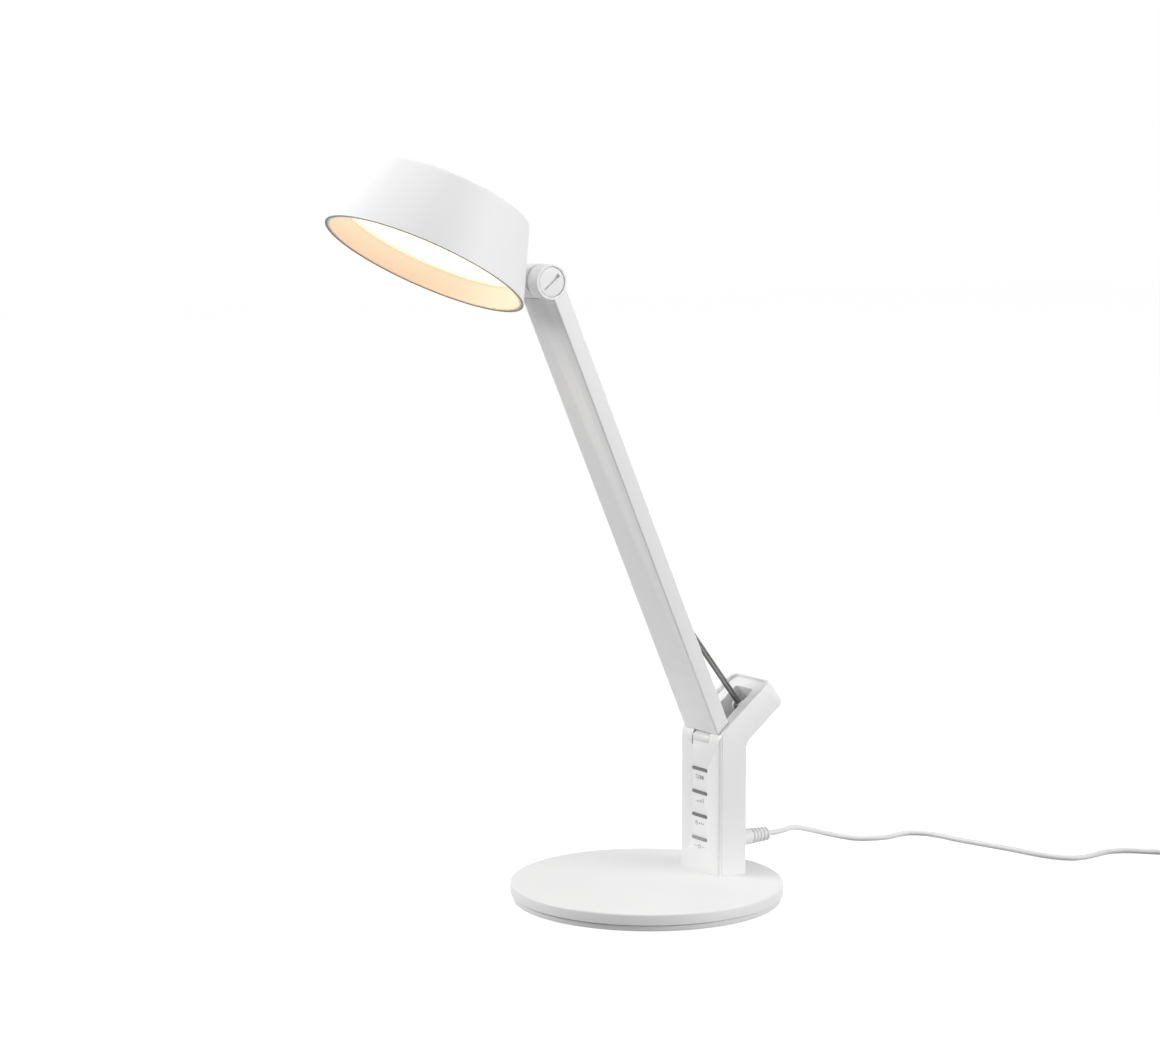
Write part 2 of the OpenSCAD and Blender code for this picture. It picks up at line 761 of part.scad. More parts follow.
// ---- arm
module arm_channel() {
  color(white) elbow_frame() difference() {
    union() {
      difference() {
        union() {
          translate([0, arm_mid_y, arm_end]) linear_extrude(arm_len - arm_end)
            rounded_box(2 * arm_half, arm_t, arm_edge_r);
          x_rod(-arm_half, arm_half, [boss_back, arm_len], boss_r);
        }
        block([-room_half, web_y, room_low], [room_half, arm_rear + 1, room_high]);
        block([-room_half, cover_y, arm_end - 1], [room_half, arm_rear + 1, room_high]);
      }
      for (side = [-1, 1]) {
        translate([side * (room_half - ledge / 2), 0, 0])
          block([-ledge / 2 - 0.01, cover_y - ledge - seat_gap, room_low - 0.1],
                [ledge / 2 + 0.01, cover_y - seat_gap, room_high + 0.1]);
        translate([side * (rail_in + rail_w / 2), 0, 0])
          block([-rail_w / 2, web_y - 0.1, rail_low], [rail_w / 2, rail_y, rail_high]);
      }
    }
    if (arm_half > neck_half) for (side = [-1, 1]) translate([side * (arm_half + neck_half + 1) / 2, 0, 0])
      block([-(arm_half - neck_half + 1) / 2, -arm_front - 1, 0],
            [(arm_half - neck_half + 1) / 2, arm_rear + 1, neck_top]);
    block([-knuckle_left - seat_gap, web_y - seat_gap, 0],
          [knuckle_right + seat_gap, cover_y + 1, room_low + 1]);
    x_rod(-cheek_in, cheek_in, [boss_back, arm_len], head_knuckle_r + 0.5);
    x_rod(-arm_w, arm_w, [boss_back, arm_len], pivot_d / 2 + pin_gap, small_fn);
    x_rod(-arm_half - 1, -arm_half + cap_well, [boss_back, arm_len], cap_r + cap_gap);
    x_rod(arm_half - cap_well, arm_half + 1, [boss_back, arm_len], cap_r + cap_gap);
  }
}

module arm_screw_places() {
  for (z = [arm_end + 8, shank_top - 6, room_high - 6])
    translate([0, cover_y, z]) rotate([-90, 0, 0]) children();
}

module arm_back() {
  color(white) elbow_frame() difference() {
    block([-room_half + slide_gap, cover_y, arm_end],
          [room_half - slide_gap, arm_rear, room_high - slide_gap]);
    translate([0, cover_y - 1, (rod_slot_low + rod_slot_high) / 2]) rotate([-90, 90, 0])
      linear_extrude(arm_wall + 2) stadium(rod_slot_high - rod_slot_low, rod_slot_w);
    arm_screw_places() translate([0, 0, -1]) cylinder(r = 1.4, h = arm_wall + 2, $fn = small_fn);
    arm_screw_places() translate([0, 0, arm_wall - 0.9]) cylinder(r = 2.6, h = 2, $fn = small_fn);
  }
}

module arm_knuckle() {
  color(pale) elbow_frame() difference() {
    union() {
      x_rod(-knuckle_left, knuckle_right, [0, 0], knuckle_r);
      block([-knuckle_left, web_y, 0], [knuckle_right, cover_y - seat_gap, shank_top]);
    }
    x_rod(-arm_w, arm_w, [0, 0], elbow_pin_d / 2 + run_gap, small_fn);
    arm_screw_places() translate([0, 0, -4.6]) cylinder(r = 1.15, h = 5, $fn = small_fn);
  }
}

module arm_screws() {
  color(steel) elbow_frame() arm_screw_places() {
    translate([0, 0, arm_wall - 0.85]) cylinder(r = 2.4, h = 0.8, $fn = small_fn);
    translate([0, 0, -4.4]) cylinder(r = 1.1, h = 4.4 + arm_wall - 0.5, $fn = small_fn);
  }
}

module arm_wire() {
  color(pale) elbow_frame() translate([-rail_in - rail_w - 3.4, web_y + 1.15, shank_top + 2])
    cylinder(r = 1.1, h = room_high - shank_top - 4, $fn = small_fn);
}

module spring_anchor() {
  color(pale) elbow_frame() difference() {
    block([-6, web_y + seat_gap, anchor_low], [6, cover_y - seat_gap, room_high - seat_gap]);
    arm_screw_places() translate([0, 0, -4.6]) cylinder(r = 1.15, h = 5, $fn = small_fn);
  }
}

module balance_spring() {
  color(steel) elbow_frame() translate([0, spring_y, slider_high + seat_gap]) difference() {
    cylinder(r = spring_d / 2, h = anchor_low - slider_high - 2 * seat_gap, $fn = small_fn);
    translate([0, 0, -1]) cylinder(r = spring_d / 2 - spring_wire, h = arm_len, $fn = small_fn);
  }
}

module spring_slider() {
  color(dark_grey) elbow_frame() difference() {
    union() {
      block([-slider_half, slider_front, slider_low], [slider_half, slider_back, slider_high]);
      for (side = [-1, 1]) translate([side * (hook_inner + hook_outer) / 2, 0, 0])
        block([-(hook_outer - hook_inner) / 2, slider_front, hook_at[1] - 4.6],
              [(hook_outer - hook_inner) / 2, slider_back, slider_low + 1]);
    }
    block([-slider_half, slider_front + 0.5, hook_at[1] - hook_pin_r - 0.4],
          [slider_half, arm_t, hook_at[1] + hook_pin_r + 1]);
  }
}

module pull_rod() {
  color(dark_steel) translate([0, rod_foot[0], rod_foot[1]]) rotate([rod_lean, 0, 0]) {
    difference() {
      union() {
        x_rod(-eye_half, eye_half, [0, 0], eye_r, small_fn);
        cylinder(r = rod_d / 2, h = rod_len - 1.5, $fn = small_fn);
        translate([0, 0, rod_len - 1.6])
          cylinder(r1 = rod_d / 2, r2 = rod_d / 2 - 0.45, h = 3, $fn = small_fn);
      }
      x_rod(-10, 10, [0, 0], rod_pin_d / 2 + run_gap, small_fn);
    }
    x_rod(-hook_pin_half, hook_pin_half, [0, rod_len], hook_pin_r, small_fn);
  }
}

// ---- head pivot
module pivot_bolt() {
  color(pale) pivot_frame() difference() {
    union() {
      x_rod(arm_half - cap_well, arm_half - cap_well + cap_t, [0, 0], cap_r);
      x_rod(-arm_half + cap_well, arm_half - cap_well + 1, [0, 0], pivot_d / 2, small_fn);
    }
    rotate([cap_slot_angle, 0, 0]) translate([arm_half - cap_well + cap_t - 1.2, 0, 0])
      rotate([90, 0, 90]) linear_extrude(3) stadium(cap_slot_len, cap_slot_w);
  }
}

module pivot_nut() {
  color(pale) pivot_frame()
    x_rod(-arm_half + cap_well - cap_t, -arm_half + cap_well - seat_gap, [0, 0], cap_r);
}

module pivot_washers() {
  inner = head_knuckle_w / 2 + 0.03;
  outer = cheek_in - 0.03;
  color(steel) pivot_frame() for (side = [-1, 1]) difference() {
    x_rod(side > 0 ? inner : -outer, side > 0 ? outer : -inner, [0, 0], head_knuckle_r - 1.4);
    x_rod(-arm_w, arm_w, [0, 0], pivot_d / 2 + run_gap, small_fn);
  }
}

// ---- head
module shade_cone(grow) {
  cylinder(r1 = shade_r(0) + grow, r2 = shade_r(shade_h) + grow, h = shade_h);
}

module neck_screw_places() {
  for (x = [-neck_screw_x, neck_screw_x]) translate([x, 0, 0]) children();
}

module head_knuckle() {
  foot_y = -shade_reach + shade_r(shade_drop) - 3;
  shoulder = head_knuckle_r * [-0.35, 0.937];
  color(white) head_frame() difference() {
    union() {
      x_rod(-head_knuckle_w / 2, head_knuckle_w / 2, [0, 0], head_knuckle_r);
      along_x(-head_knuckle_w / 2, head_knuckle_w / 2) polygon([
        shoulder, [foot_y, neck_foot_half], [foot_y, -neck_foot_half], [shoulder[0], -shoulder[1]]
      ]);
    }
    translate([0, -shade_reach, -shade_drop]) shade_cone(seat_gap);
    x_rod(-arm_w, arm_w, [0, 0], pivot_d / 2 + run_gap, small_fn);
    neck_screw_places() y_rod(-shade_reach, -head_knuckle_r, 0, neck_screw_z - shade_drop, pilot_r);
    rotate([clamp_screw_lean, 0, 0]) cylinder(r = 1.3, h = boss_r + 2, $fn = small_fn);
  }
}

module neck_screw() {
  low = pivot_d / 2 + 0.6;
  color(dark_steel) head_frame() rotate([clamp_screw_lean, 0, 0]) translate([0, 0, low])
    cylinder(r = 1.25, h = head_knuckle_r + clamp_screw_proud - low, $fn = small_fn);
}

// Clamps the neck from inside the shade
module neck_plate() {
  plate_t = 1.8;
  color(steel) shade_frame() difference() {
    intersection() {
      block([-8, shade_r(neck_screw_z) - shade_wall - plate_t - 1, sink_under + sink_t + 0.4],
            [8, shade_r(0), neck_screw_z + 5]);
      shade_cone(-shade_wall - seat_gap);
    }
    neck_screw_places() y_rod(0, shade_d, 0, neck_screw_z, pilot_r + slide_gap);
  }
}

module neck_screws() {
  seat = shade_r(neck_screw_z) - shade_wall - 2.8;
  tip = shade_reach - head_knuckle_r - neck_screw_tip_gap;
  color(steel) shade_frame() neck_screw_places() {
    y_rod(seat - 1.5, seat - seat_gap, 0, neck_screw_z, 2.2);
    y_rod(seat - 1, tip, 0, neck_screw_z, pilot_r - seat_gap);
  }
}

module shade_boss_places() {
  for (a = [90, 210, 330]) rotate(a) translate([shade_screw_ring, 0, 0]) children();
}

module shade_shell() {
  color(white) shade_frame() difference() {
    union() {
      rotate_extrude() polygon(rounded([
        [[0, shade_h - shade_top_t], 0],
        [[shade_r(shade_h - shade_top_t) - shade_wall, shade_h - shade_top_t], shade_edge_r - shade_wall],
        [[shade_r(0) - shade_wall, 0], 0], [[shade_r(0), 0], 0],
        [[shade_r(shade_h), shade_h], shade_edge_r], [[0, shade_h], 0]
      ]));
      shade_boss_places() translate([0, 0, sink_under + sink_t + seat_gap])
        cylinder(r = shade_boss_r, h = shade_h - sink_under - sink_t - 1, $fn = small_fn);
    }
    shade_boss_places() cylinder(r = pilot_r, h = shade_h - shade_top_t - 1, $fn = small_fn);
    neck_screw_places() y_rod(0, shade_d, 0, neck_screw_z, pilot_r + slide_gap);
  }
}

module reflector() {
  function out(z) = shade_r(z) - shade_wall - reflector_gap;
  shelf = out(diffuser_depth) - reflector_t - shelf_w;
  color(warm_white) shade_frame() rotate_extrude() polygon([
    [out(reflector_low), reflector_low], [out(sink_under - seat_gap), sink_under - seat_gap],
    [out(sink_under - seat_gap) - reflector_t, sink_under - seat_gap],
    [out(diffuser_depth) - reflector_t, diffuser_depth], [shelf, diffuser_depth],
    [shelf, diffuser_depth - shelf_t],
    [out(diffuser_depth - shelf_t) - reflector_t, diffuser_depth - shelf_t],
    [out(reflector_low) - reflector_t, reflector_low]
  ]);
}

module diffuser() {
  edge = diffuser_depth + seat_gap;
  inset = shade_wall + reflector_gap + reflector_t + slide_gap;
  color(warm_white) shade_frame() translate([0, 0, edge])
    cylinder(r = shade_r(edge + diffuser_t) - inset, h = diffuser_t);
}

module led_board() {
  color(white) shade_frame() difference() {
    translate([0, 0, board_under]) cylinder(r = led_board_r, h = led_board_t);
    shade_boss_places() cylinder(r = screw_head_r + 0.4, h = shade_h, $fn = small_fn);
  }
}

module leds() {
  rings = [[24, led_board_r - 5], [12, led_board_r / 2 - 2]];
  color(copper) shade_frame() for (ring = rings, i = [0:ring[0] - 1])
    rotate((i + 0.5) * 360 / ring[0]) translate([ring[1], 0, board_under - led_h / 2 - seat_gap])
      cube([3, 3, led_h], center = true);
}

module heat_sink() {
  color(steel) shade_frame() difference() {
    translate([0, 0, sink_under]) cylinder(r = sink_r, h = sink_t);
    shade_boss_places() cylinder(r = pilot_r + slide_gap, h = shade_h, $fn = small_fn);
  }
}

module shade_screws() {
  color(steel) shade_frame() shade_boss_places() {
    translate([0, 0, sink_under - screw_head_h - seat_gap])
      cylinder(r = screw_head_r, h = screw_head_h, $fn = small_fn);
    translate([0, 0, sink_under - screw_head_h])
      cylinder(r = pilot_r - seat_gap, h = shade_screw_len, $fn = small_fn);
  }
}

// ---- power lead
module dc_plug() {
  ribs_from = plug_len - plug_ribs * plug_rib_pitch;
  gap = plug_rib_pitch - plug_rib_w;
  function taper(s) =
    plug_d / 2 - (plug_d / 2 - plug_end_r) * max(0, s - ribs_from) / (plug_len - ribs_from);
  color(white) translate([0, back_y + seat_gap, jack_z]) rotate([-90, 0, 0]) rotate_extrude($fn = 48)
    polygon([
      [0, 0], [plug_d / 2 - 0.4, 0], [plug_d / 2, 0.4],
      for (i = [0:plug_ribs - 1]) let (s = ribs_from + i * plug_rib_pitch, deep = taper(s) - plug_rib_depth)
        each [[taper(s), s], [deep, s + 0.2], [deep, s + gap - 0.2], [taper(s + gap), s + gap]],
      [plug_end_r, plug_len - 0.4], [plug_end_r - 0.4, plug_len], [0, plug_len]
    ]);
}

module plug_barrel() {
  color(steel) difference() {
    y_rod(back_y - jack_depth + 0.5, back_y + seat_gap, 0, jack_z, barrel_r);
    y_rod(back_y - jack_depth, back_y - 1, 0, jack_z, 1.25);
  }
}

// Points between p[i] and p[i + 1] on the smooth curve through all of them
function curve(p, n) = [
  for (i = [0:len(p) - 2], k = [0:n - 1])
    let (a = p[max(i - 1, 0)], b = p[i], c = p[i + 1], d = p[min(i + 2, len(p) - 1)], t = k / n)
    0.5 * (2 * b + (c - a) * t + (2 * a - 5 * b + 4 * c - d) * t * t + (3 * b - a - 3 * c + d) * t * t * t),
  p[len(p) - 1]
];
function sum(v) = v * [for (i = [1:len(v)]) 1];
function length_of(p) = sum([for (i = [0:len(p) - 2]) norm(p[i + 1] - p[i])]);

// A tube of one piece along the points p, its end faces square to the directions first and last
module tube(p, r, sides, first, last) {
  n = len(p);
  rings = [
    for (i = [0:n - 1])
      let (
        along = i == 0 ? unit(first) : i == n - 1 ? unit(last) : unit(p[i + 1] - p[i - 1]),
        side = unit(cross(along, [0, 0, 1])), up = cross(side, along)
      )
      for (k = [0:sides - 1]) let (a = (k + 0.5) * 360 / sides) p[i] + r * (cos(a) * side + sin(a) * up)
  ];
  walls = [
    for (i = [0:n - 2], k = [0:sides - 1])
      let (a = i * sides + k, b = i * sides + (k + 1) % sides)
      each [[a, b, b + sides], [a, b + sides, a + sides]]
  ];
  ends = [
    for (k = [1:sides - 2]) let (e = (n - 1) * sides) each [[0, k + 1, k], [e, e + k, e + k + 1]]
  ];
  polyhedron(rings, concat(walls, ends));
}

run_points = curve(route, 2);

module cord_run() {
  color(white) tube(run_points, cord_r, 8, [0, 1, 0], heading);
}

// The coil spirals in and out again, layer on layer, and climbs where the spiral turns round
layer_sweep = coil_sweep / coil_layers;
function coil_r(t) = let (phase = t / layer_sweep, k = floor(phase), part = phase - k)
  k % 2 == 0 ? coil_out - coil_span * part : coil_in + coil_span * part;
function climb(t) = sum([for (k = [1:coil_layers - 1]) min(1, max(0, (t - k * layer_sweep + 90) / 180))]);
function coil_point(t) = let (a = run_heading - 90 + t)
  coil_middle + [coil_r(t) * cos(a), coil_r(t) * sin(a), coil_pitch * climb(t)];
coil_rings = round(loop_rings * coil_turns);
coil_arc = [for (i = [0:coil_rings]) coil_point(coil_sweep * i / coil_rings)];
out_heading = [cos(run_heading + coil_sweep), sin(run_heading + coil_sweep), 0];
coil_stop = coil_arc[coil_rings] + cord_d * out_heading;
coil_points = concat([coil_start], coil_arc, [coil_stop]);
tail_start = coil_stop + seat_gap * out_heading;
relief_tip = [tail_start[0] + tail_len, tail_start[1], adapter_h / 2];
tail_points = curve([
  tail_start, tail_start + cord_d * out_heading, tail_start + tail_len / 2 * out_heading + [0, 0, -0.3],
  relief_tip - [cord_d, 0, 0], relief_tip
], 2);

module cord_coil() {
  color(white) tube(coil_points, cord_r, 6, heading, out_heading);
}

module cord_tail() {
  color(white) tube(tail_points, cord_r, 8, out_heading, [1, 0, 0]);
}

module coil_tie() {
  low = coil_in - cord_r - 0.7;
  high = coil_out + cord_r + 0.2;
  top = coil_lift + coil_pitch * (coil_layers - 1) + cord_d + 0.15;
  color(dark_grey) translate([coil_middle[0], coil_middle[1], 0]) rotate(tie_angle) difference() {
    block([low - tie_t, -tie_w / 2, 0], [high + tie_t, tie_w / 2, top + tie_t]);
    block([low, -tie_w, tie_t], [high, tie_w, top]);
  }
}

// ---- power adapter
module adapter_frame() {
  translate([relief_tip[0] + seat_gap + relief_len, relief_tip[1], adapter_h / 2]) children();
}

module adapter_case() {
  color(white) adapter_frame() intersection() {
    rotate([90, 0, 90]) linear_extrude(adapter_len) rounded_box(adapter_w, adapter_h, adapter_r);
    translate([adapter_len / 2 + 4, 0, -adapter_h])
      linear_extrude(2 * adapter_h) rounded_box(adapter_len + 8, adapter_w, 4);
  }
}

module adapter_face() {
  color(white) adapter_frame() translate([adapter_len + slide_gap, 0, 0]) {
    rotate([90, 0, 90]) linear_extrude(face_t) rounded_box(adapter_w, adapter_h, adapter_r);
    rotate([90, 0, 90]) linear_extrude(face_t + nose_len) stadium(nose_w, nose_h);
  }
}

module adapter_pins() {
  tip = adapter_len + slide_gap + face_t + nose_len + seat_gap;
  color(steel) adapter_frame() for (side = [-1, 1])
    translate([tip, side * prong_gap / 2, 0]) rotate([0, 90, 0]) {
      cylinder(r = prong_r, h = prong_len - 1, $fn = small_fn);
      translate([0, 0, prong_len - 1]) cylinder(r1 = prong_r, r2 = prong_r - 0.9, h = 1, $fn = small_fn);
    }
}

module adapter_relief() {
  ribs = 4;
  pitch = relief_len / (ribs + 1);
  tip_r = cord_r + 0.7;
  function taper(s) = tip_r + (relief_r - tip_r) * s / relief_len;
  color(white) translate([relief_tip[0] + seat_gap, relief_tip[1], adapter_h / 2]) rotate([0, 90, 0])
    rotate_extrude($fn = 48) polygon([
      [0, 0],
      for (i = [0:ribs - 1]) let (s = i * pitch, top = taper(s), floor_r = top - 0.5) each [
        [top, s], [top, s + pitch * 0.6], [floor_r, s + pitch * 0.65], [floor_r, s + pitch * 0.95]
      ],
      [relief_r, ribs * pitch], [relief_r, relief_len - seat_gap], [0, relief_len - seat_gap]
    ]);
}

coil_near = min([
  for (i = [0:coil_rings - 1], j = [i + round(loop_rings / 2):1:coil_rings]) norm(coil_arc[i] - coil_arc[j])
]);
echo(str("Least gap between the coil's turns: ", coil_near - cord_d, " mm"));
lead_length = length_of(run_points) + length_of(coil_points) + length_of(tail_points);
echo(str("Length of the lead: ", lead_length, " mm"));

base_cover();
base_weight();
base_bottom();
base_pad();
base_screws();
stem_shell();
stem_front();
stem_foot();
stem_screws();
trough_insert();
rod_bracket();
rod_pin();
hinge_block();
elbow_pin();
elbow_washer();
key_board();
key_switches();
key_colour();
key_dimmer();
key_timer();
key_power();
dc_jack();
arm_channel();
arm_back();
arm_knuckle();
arm_screws();
arm_wire();
spring_anchor();
balance_spring();
spring_slider();
pull_rod();
pivot_bolt();
pivot_nut();
pivot_washers();
head_knuckle();
neck_screw();
neck_plate();
neck_screws();
shade_shell();
reflector();
diffuser();
led_board();
leds();
heat_sink();
shade_screws();
dc_plug();
plug_barrel();
cord_run();
cord_coil();
coil_tie();
cord_tail();
adapter_case();
adapter_face();
adapter_pins();
adapter_relief();
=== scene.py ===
"""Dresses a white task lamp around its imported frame: a round weighted base, an upright with four
keys and a sloping trough, a flat arm balanced by a pull rod, and a tilting shade with a lit disc.
Metres, +Z up. The origin is the middle of the base's underside, and the keys face -Y."""

import json
import math

import bpy
from bpy.props import FloatProperty, FloatVectorProperty, IntProperty, PointerProperty
from mathutils import Matrix, Vector


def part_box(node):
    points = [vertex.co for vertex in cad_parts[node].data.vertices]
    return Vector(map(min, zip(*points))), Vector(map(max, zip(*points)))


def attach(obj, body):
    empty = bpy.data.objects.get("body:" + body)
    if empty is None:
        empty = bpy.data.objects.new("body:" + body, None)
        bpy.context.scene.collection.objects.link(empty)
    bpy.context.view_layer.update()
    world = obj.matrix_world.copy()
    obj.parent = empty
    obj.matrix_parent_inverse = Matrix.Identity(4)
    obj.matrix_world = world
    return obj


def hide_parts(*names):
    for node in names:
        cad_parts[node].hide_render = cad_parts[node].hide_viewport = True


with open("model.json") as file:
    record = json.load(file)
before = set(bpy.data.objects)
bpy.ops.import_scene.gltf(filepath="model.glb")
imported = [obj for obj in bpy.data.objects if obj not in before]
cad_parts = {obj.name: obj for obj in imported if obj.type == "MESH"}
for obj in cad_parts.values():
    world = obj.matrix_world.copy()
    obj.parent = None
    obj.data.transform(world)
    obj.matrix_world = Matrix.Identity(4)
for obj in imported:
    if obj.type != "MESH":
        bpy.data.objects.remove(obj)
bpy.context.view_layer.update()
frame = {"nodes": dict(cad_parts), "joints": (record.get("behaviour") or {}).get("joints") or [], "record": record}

bl_info = {
    "name": "Task lamp with a round base",
    "version": (1, 0, 0),
    "blender": (4, 5, 0),
    "location": "View3D > Sidebar > Task lamp",
    "description": "Builds the finished surfaces of a task lamp around its packed frame",
    "category": "Object",
}

MM = 0.001
WELD = 0.002 * MM
ROUND_STEPS = 160
SHADE_STEPS = 192
SMALL_STEPS = 48
SMOOTH_ANGLE = math.radians(32)
SHARP_ANGLE = math.radians(35)
FLAT_ANGLE = math.radians(0.4)


def linear(code):
    """The linear colour of an sRGB hex code such as #A0B0C0."""
    shares = [int(code[i:i + 2], 16) / 255 for i in (1, 3, 5)]
    return tuple(s / 12.92 if s <= 0.04045 else ((s + 0.055) / 1.055) ** 2.4 for s in shares) + (1.0,)


# ---------------- settings

def length(name, description, default):
    """A length in metres that a user may change."""
    return FloatProperty(
        name=name, description=description, default=default, min=0, max=1, unit="LENGTH", precision=5)


def colour(name, description, code):
    """A colour that a user may change."""
    return FloatVectorProperty(
        name=name, description=description, default=linear(code), size=4, min=0, max=1, subtype="COLOR")


def level(name, description, default):
    """A power or brightness that a user may change."""
    return FloatProperty(name=name, description=description, default=default, min=0)


class LampSizes(bpy.types.PropertyGroup):
    """Sizes of the details that the finished surfaces add to the frame."""

    base_edge: length("Base edge", "Rounding of the cover plate's top edge", 1.2 * MM)
    base_wall: length("Base wall", "Wall of the cover plate", 2 * MM)
    panel_ease: length("Panel edges", "Rounding of the upright's sharp moulded edges", 0.45 * MM)
    arm_ease: length("Arm edges", "Rounding of the arm's sharp edges", 0.12 * MM)
    key_ease: length("Key edges", "Rounding of the keys' edges", 0.3 * MM)
    metal_ease: length("Metal edges", "Chamfer on turned and stamped metal parts", 0.15 * MM)
    shade_wall: length("Shade wall", "Wall of the shade", 1.6 * MM)
    shade_edge: length("Shade edge", "Rounding of the shade's top edge", 2.4 * MM)
    # Height of the dark lip ring, which is painted shadow.
    painted_shadow_lip: length("Bare lip", "Height of the bare metal at the shade's lip", 0.3 * MM)
    cap_edge: length("Cap edge", "Rounding of the slotted cap's edge", 1.2 * MM)
    rod_groove: length("Rod groove", "Width of the groove along each side of the pull rod", 0.9 * MM)
    reflector_wall: length("Reflector wall", "Wall of the reflector", 1 * MM)
    lead_bore: length("Lead diameter", "Diameter of the power lead", 3.3 * MM)
    symbol: length("Symbol height", "Height of the symbols under each key", 2.6 * MM)
    stroke: length("Symbol stroke", "Line width of the symbols", 0.4 * MM)
    coil_points: IntProperty(
        name="Coil points", description="Points in each turn of the coiled lead", default=40, min=24)


class LampColours(bpy.types.PropertyGroup):
    """Colours of the lamp's finishes."""

    # A touch lighter than the housings' white: painted light that brightens the shade and arm.
    shade: colour("Shade and arm", "White of the powder coat on the shade and arm", "#F7F7F7")
    housing: colour("Housing", "White of the moulded housings", "#F3F3F3")
    inner: colour("Inner parts", "Off-white of the inner moulded parts", "#EBEBEA")
    # A touch greyer than the housings: painted shade inside the trough.
    liner: colour("Liner", "Pale grey of the trough's liner", "#F0F0F0")
    # Dark grey-brown painted on the lip for the shadow in the gap round the opening.
    lip: colour("Bare lip", "Grey-brown of the shade's bare lip", "#918A84")
    keys: colour("Keys", "Grey of the three upper keys", "#6E7072")
    power_key: colour("Power key", "Lighter grey of the lowest key", "#96989A")
    symbols: colour("Symbols", "Printed grey of the symbols", "#A6A8AA")
    # Peach tint painted on the white reflector for the warm light from the disc.
    reflector: colour("Reflector", "Warm white of the reflector", "#FFE9CF")
    glow: colour("Light", "Warm white of the lit disc", "#FFE1C6")
    lead: colour("Lead", "White of the lead's jacket", "#EFEFEF")


class StageLevels(bpy.types.PropertyGroup):
    """Levels of the studio's light, and its lens."""

    sky: level("Sky", "Level of the even light from all round", 0.29)
    top_box: level("Top box", "Power of the soft box overhead, in watts", 13)
    front_box: level("Front box", "Power of the soft box at the front left, in watts", 31)
    side_box: level("Side box", "Power of the soft box at the right, in watts", 31)
    disc_centre: level("Disc centre", "Brightness in the disc's middle", 1.36)
    disc_edge: level("Disc edge", "Brightness at the disc's edge", 1.08)
    # Strengths of the painted glow that stands for the disc's light on the reflector.
    painted_glow_near: level("Glow by the disc", "Light that the reflector passes beside the disc", 0.36)
    painted_glow_rim: level("Glow at the rim", "Light that the reflector passes at its rim", 0.27)
    lens: FloatProperty(
        name="Lens", description="Focal length on a 36 mm sensor, in mm", default=89.55, min=1)


def sizes():
    return bpy.context.scene.lamp_sizes


def colours():
    return bpy.context.scene.lamp_colours


def levels():
    return bpy.context.scene.stage_levels


# ---------------- node trees

def add_node(tree, kind, inputs=None, **settings):
    """Adds a node with its settings; an input is a value, or an output to link."""
    node = tree.nodes.new(kind)
    for key, value in settings.items():
        setattr(node, key, value)
    for key, value in (inputs or {}).items():
        if isinstance(value, bpy.types.NodeSocket):
            tree.links.new(value, node.inputs[key])
        else:
            node.inputs[key].default_value = value
    return node


def empty_tree(owner):
    """The node tree of a material or of the world, with nothing in it."""
    owner.use_nodes = True
    owner.node_tree.nodes.clear()
    return owner.node_tree


def new_surface(name, **sockets):
    """A material with one Principled shader, and the even values set on the shader's own sockets."""
    material = bpy.data.materials.new(name)
    tree = empty_tree(material)
    shader = add_node(tree, "ShaderNodeBsdfPrincipled", sockets)
    add_node(tree, "ShaderNodeOutputMaterial", {"Surface": shader.outputs["BSDF"]})
    return material, tree, shader


def object_points(tree, scale=(1, 1, 1)):
    """The piece's own coordinates, stretched."""
    place = add_node(tree, "ShaderNodeTexCoord")
    return add_node(
        tree, "ShaderNodeMapping", {"Vector": place.outputs["Object"], "Scale": scale},
        vector_type="POINT").outputs["Vector"]


def shift(tone, amount):
    """The colour made lighter or darker by a share of itself."""
    return tuple(min(1.0, c * (1 + amount)) for c in tone[:3]) + (1.0,)


def two_tone(tree, shader, pattern, dark, light, start=0.0, end=1.0):
    """A base colour that goes from dark to light as a pattern goes from start to end."""
    ramp = add_node(tree, "ShaderNodeValToRGB", {"Fac": pattern})
    for stop, place, tone in zip(ramp.color_ramp.elements, (start, end), (dark, light)):
        stop.position = place
        stop.color = tone
    tree.links.new(ramp.outputs["Color"], shader.inputs["Base Color"])


def tint(tree, shader, points, tone, size, spread):
    """Slow drift of the colour over the piece, as in pigmented plastic."""
    drift = add_node(tree, "ShaderNodeTexNoise", {"Vector": points, "Scale": 1 / size, "Detail": 2.0})
    dark, light = shift(tone, -spread), shift(tone, spread)
    two_tone(tree, shader, drift.outputs["Fac"], dark, light, 0.3, 0.7)


def gloss(tree, shader, pattern, low, high):
    """Roughness that follows a pattern between two values."""
    spread = add_node(
        tree, "ShaderNodeMapRange",
        {"Value": pattern, "From Min": 0.3, "From Max": 0.7, "To Min": low, "To Max": high})
    tree.links.new(spread.outputs["Result"], shader.inputs["Roughness"])


def relief(tree, shader, pattern, depth):
    """Bump of a real depth from a pattern."""
    bump = add_node(tree, "ShaderNodeBump", {"Height": pattern, "Distance": depth})
    tree.links.new(bump.outputs["Normal"], shader.inputs["Normal"])


def grain(tree, shader, points, size, detail, low, high, depth):
    """One fine noise that moves the roughness between two values and stands out by a real depth."""
    noise = add_node(tree, "ShaderNodeTexNoise", {"Vector": points, "Scale": 1 / size, "Detail": detail})
    gloss(tree, shader, noise.outputs["Fac"], low, high)
    relief(tree, shader, noise.outputs["Fac"], depth)


def grained(name, tone, drift, spread, size, detail, low, high, depth, ior):
    """A surface whose colour drifts slowly by a share and whose gloss and relief follow one grain."""
    material, tree, shader = new_surface(name, IOR=ior)
    points = object_points(tree)
    tint(tree, shader, points, tone, drift, spread)
    grain(tree, shader, points, size, detail, low, high, depth)
    return material, tree, shader


def moulded(name, tone, rough, size, depth, ior=1.53):
    """A moulded plastic with the fine grain of a spark-eroded tool."""
    return grained(name, tone, 45 * MM, 0.012, size, 3.0, rough - 0.05, rough + 0.05, depth, ior)[0]


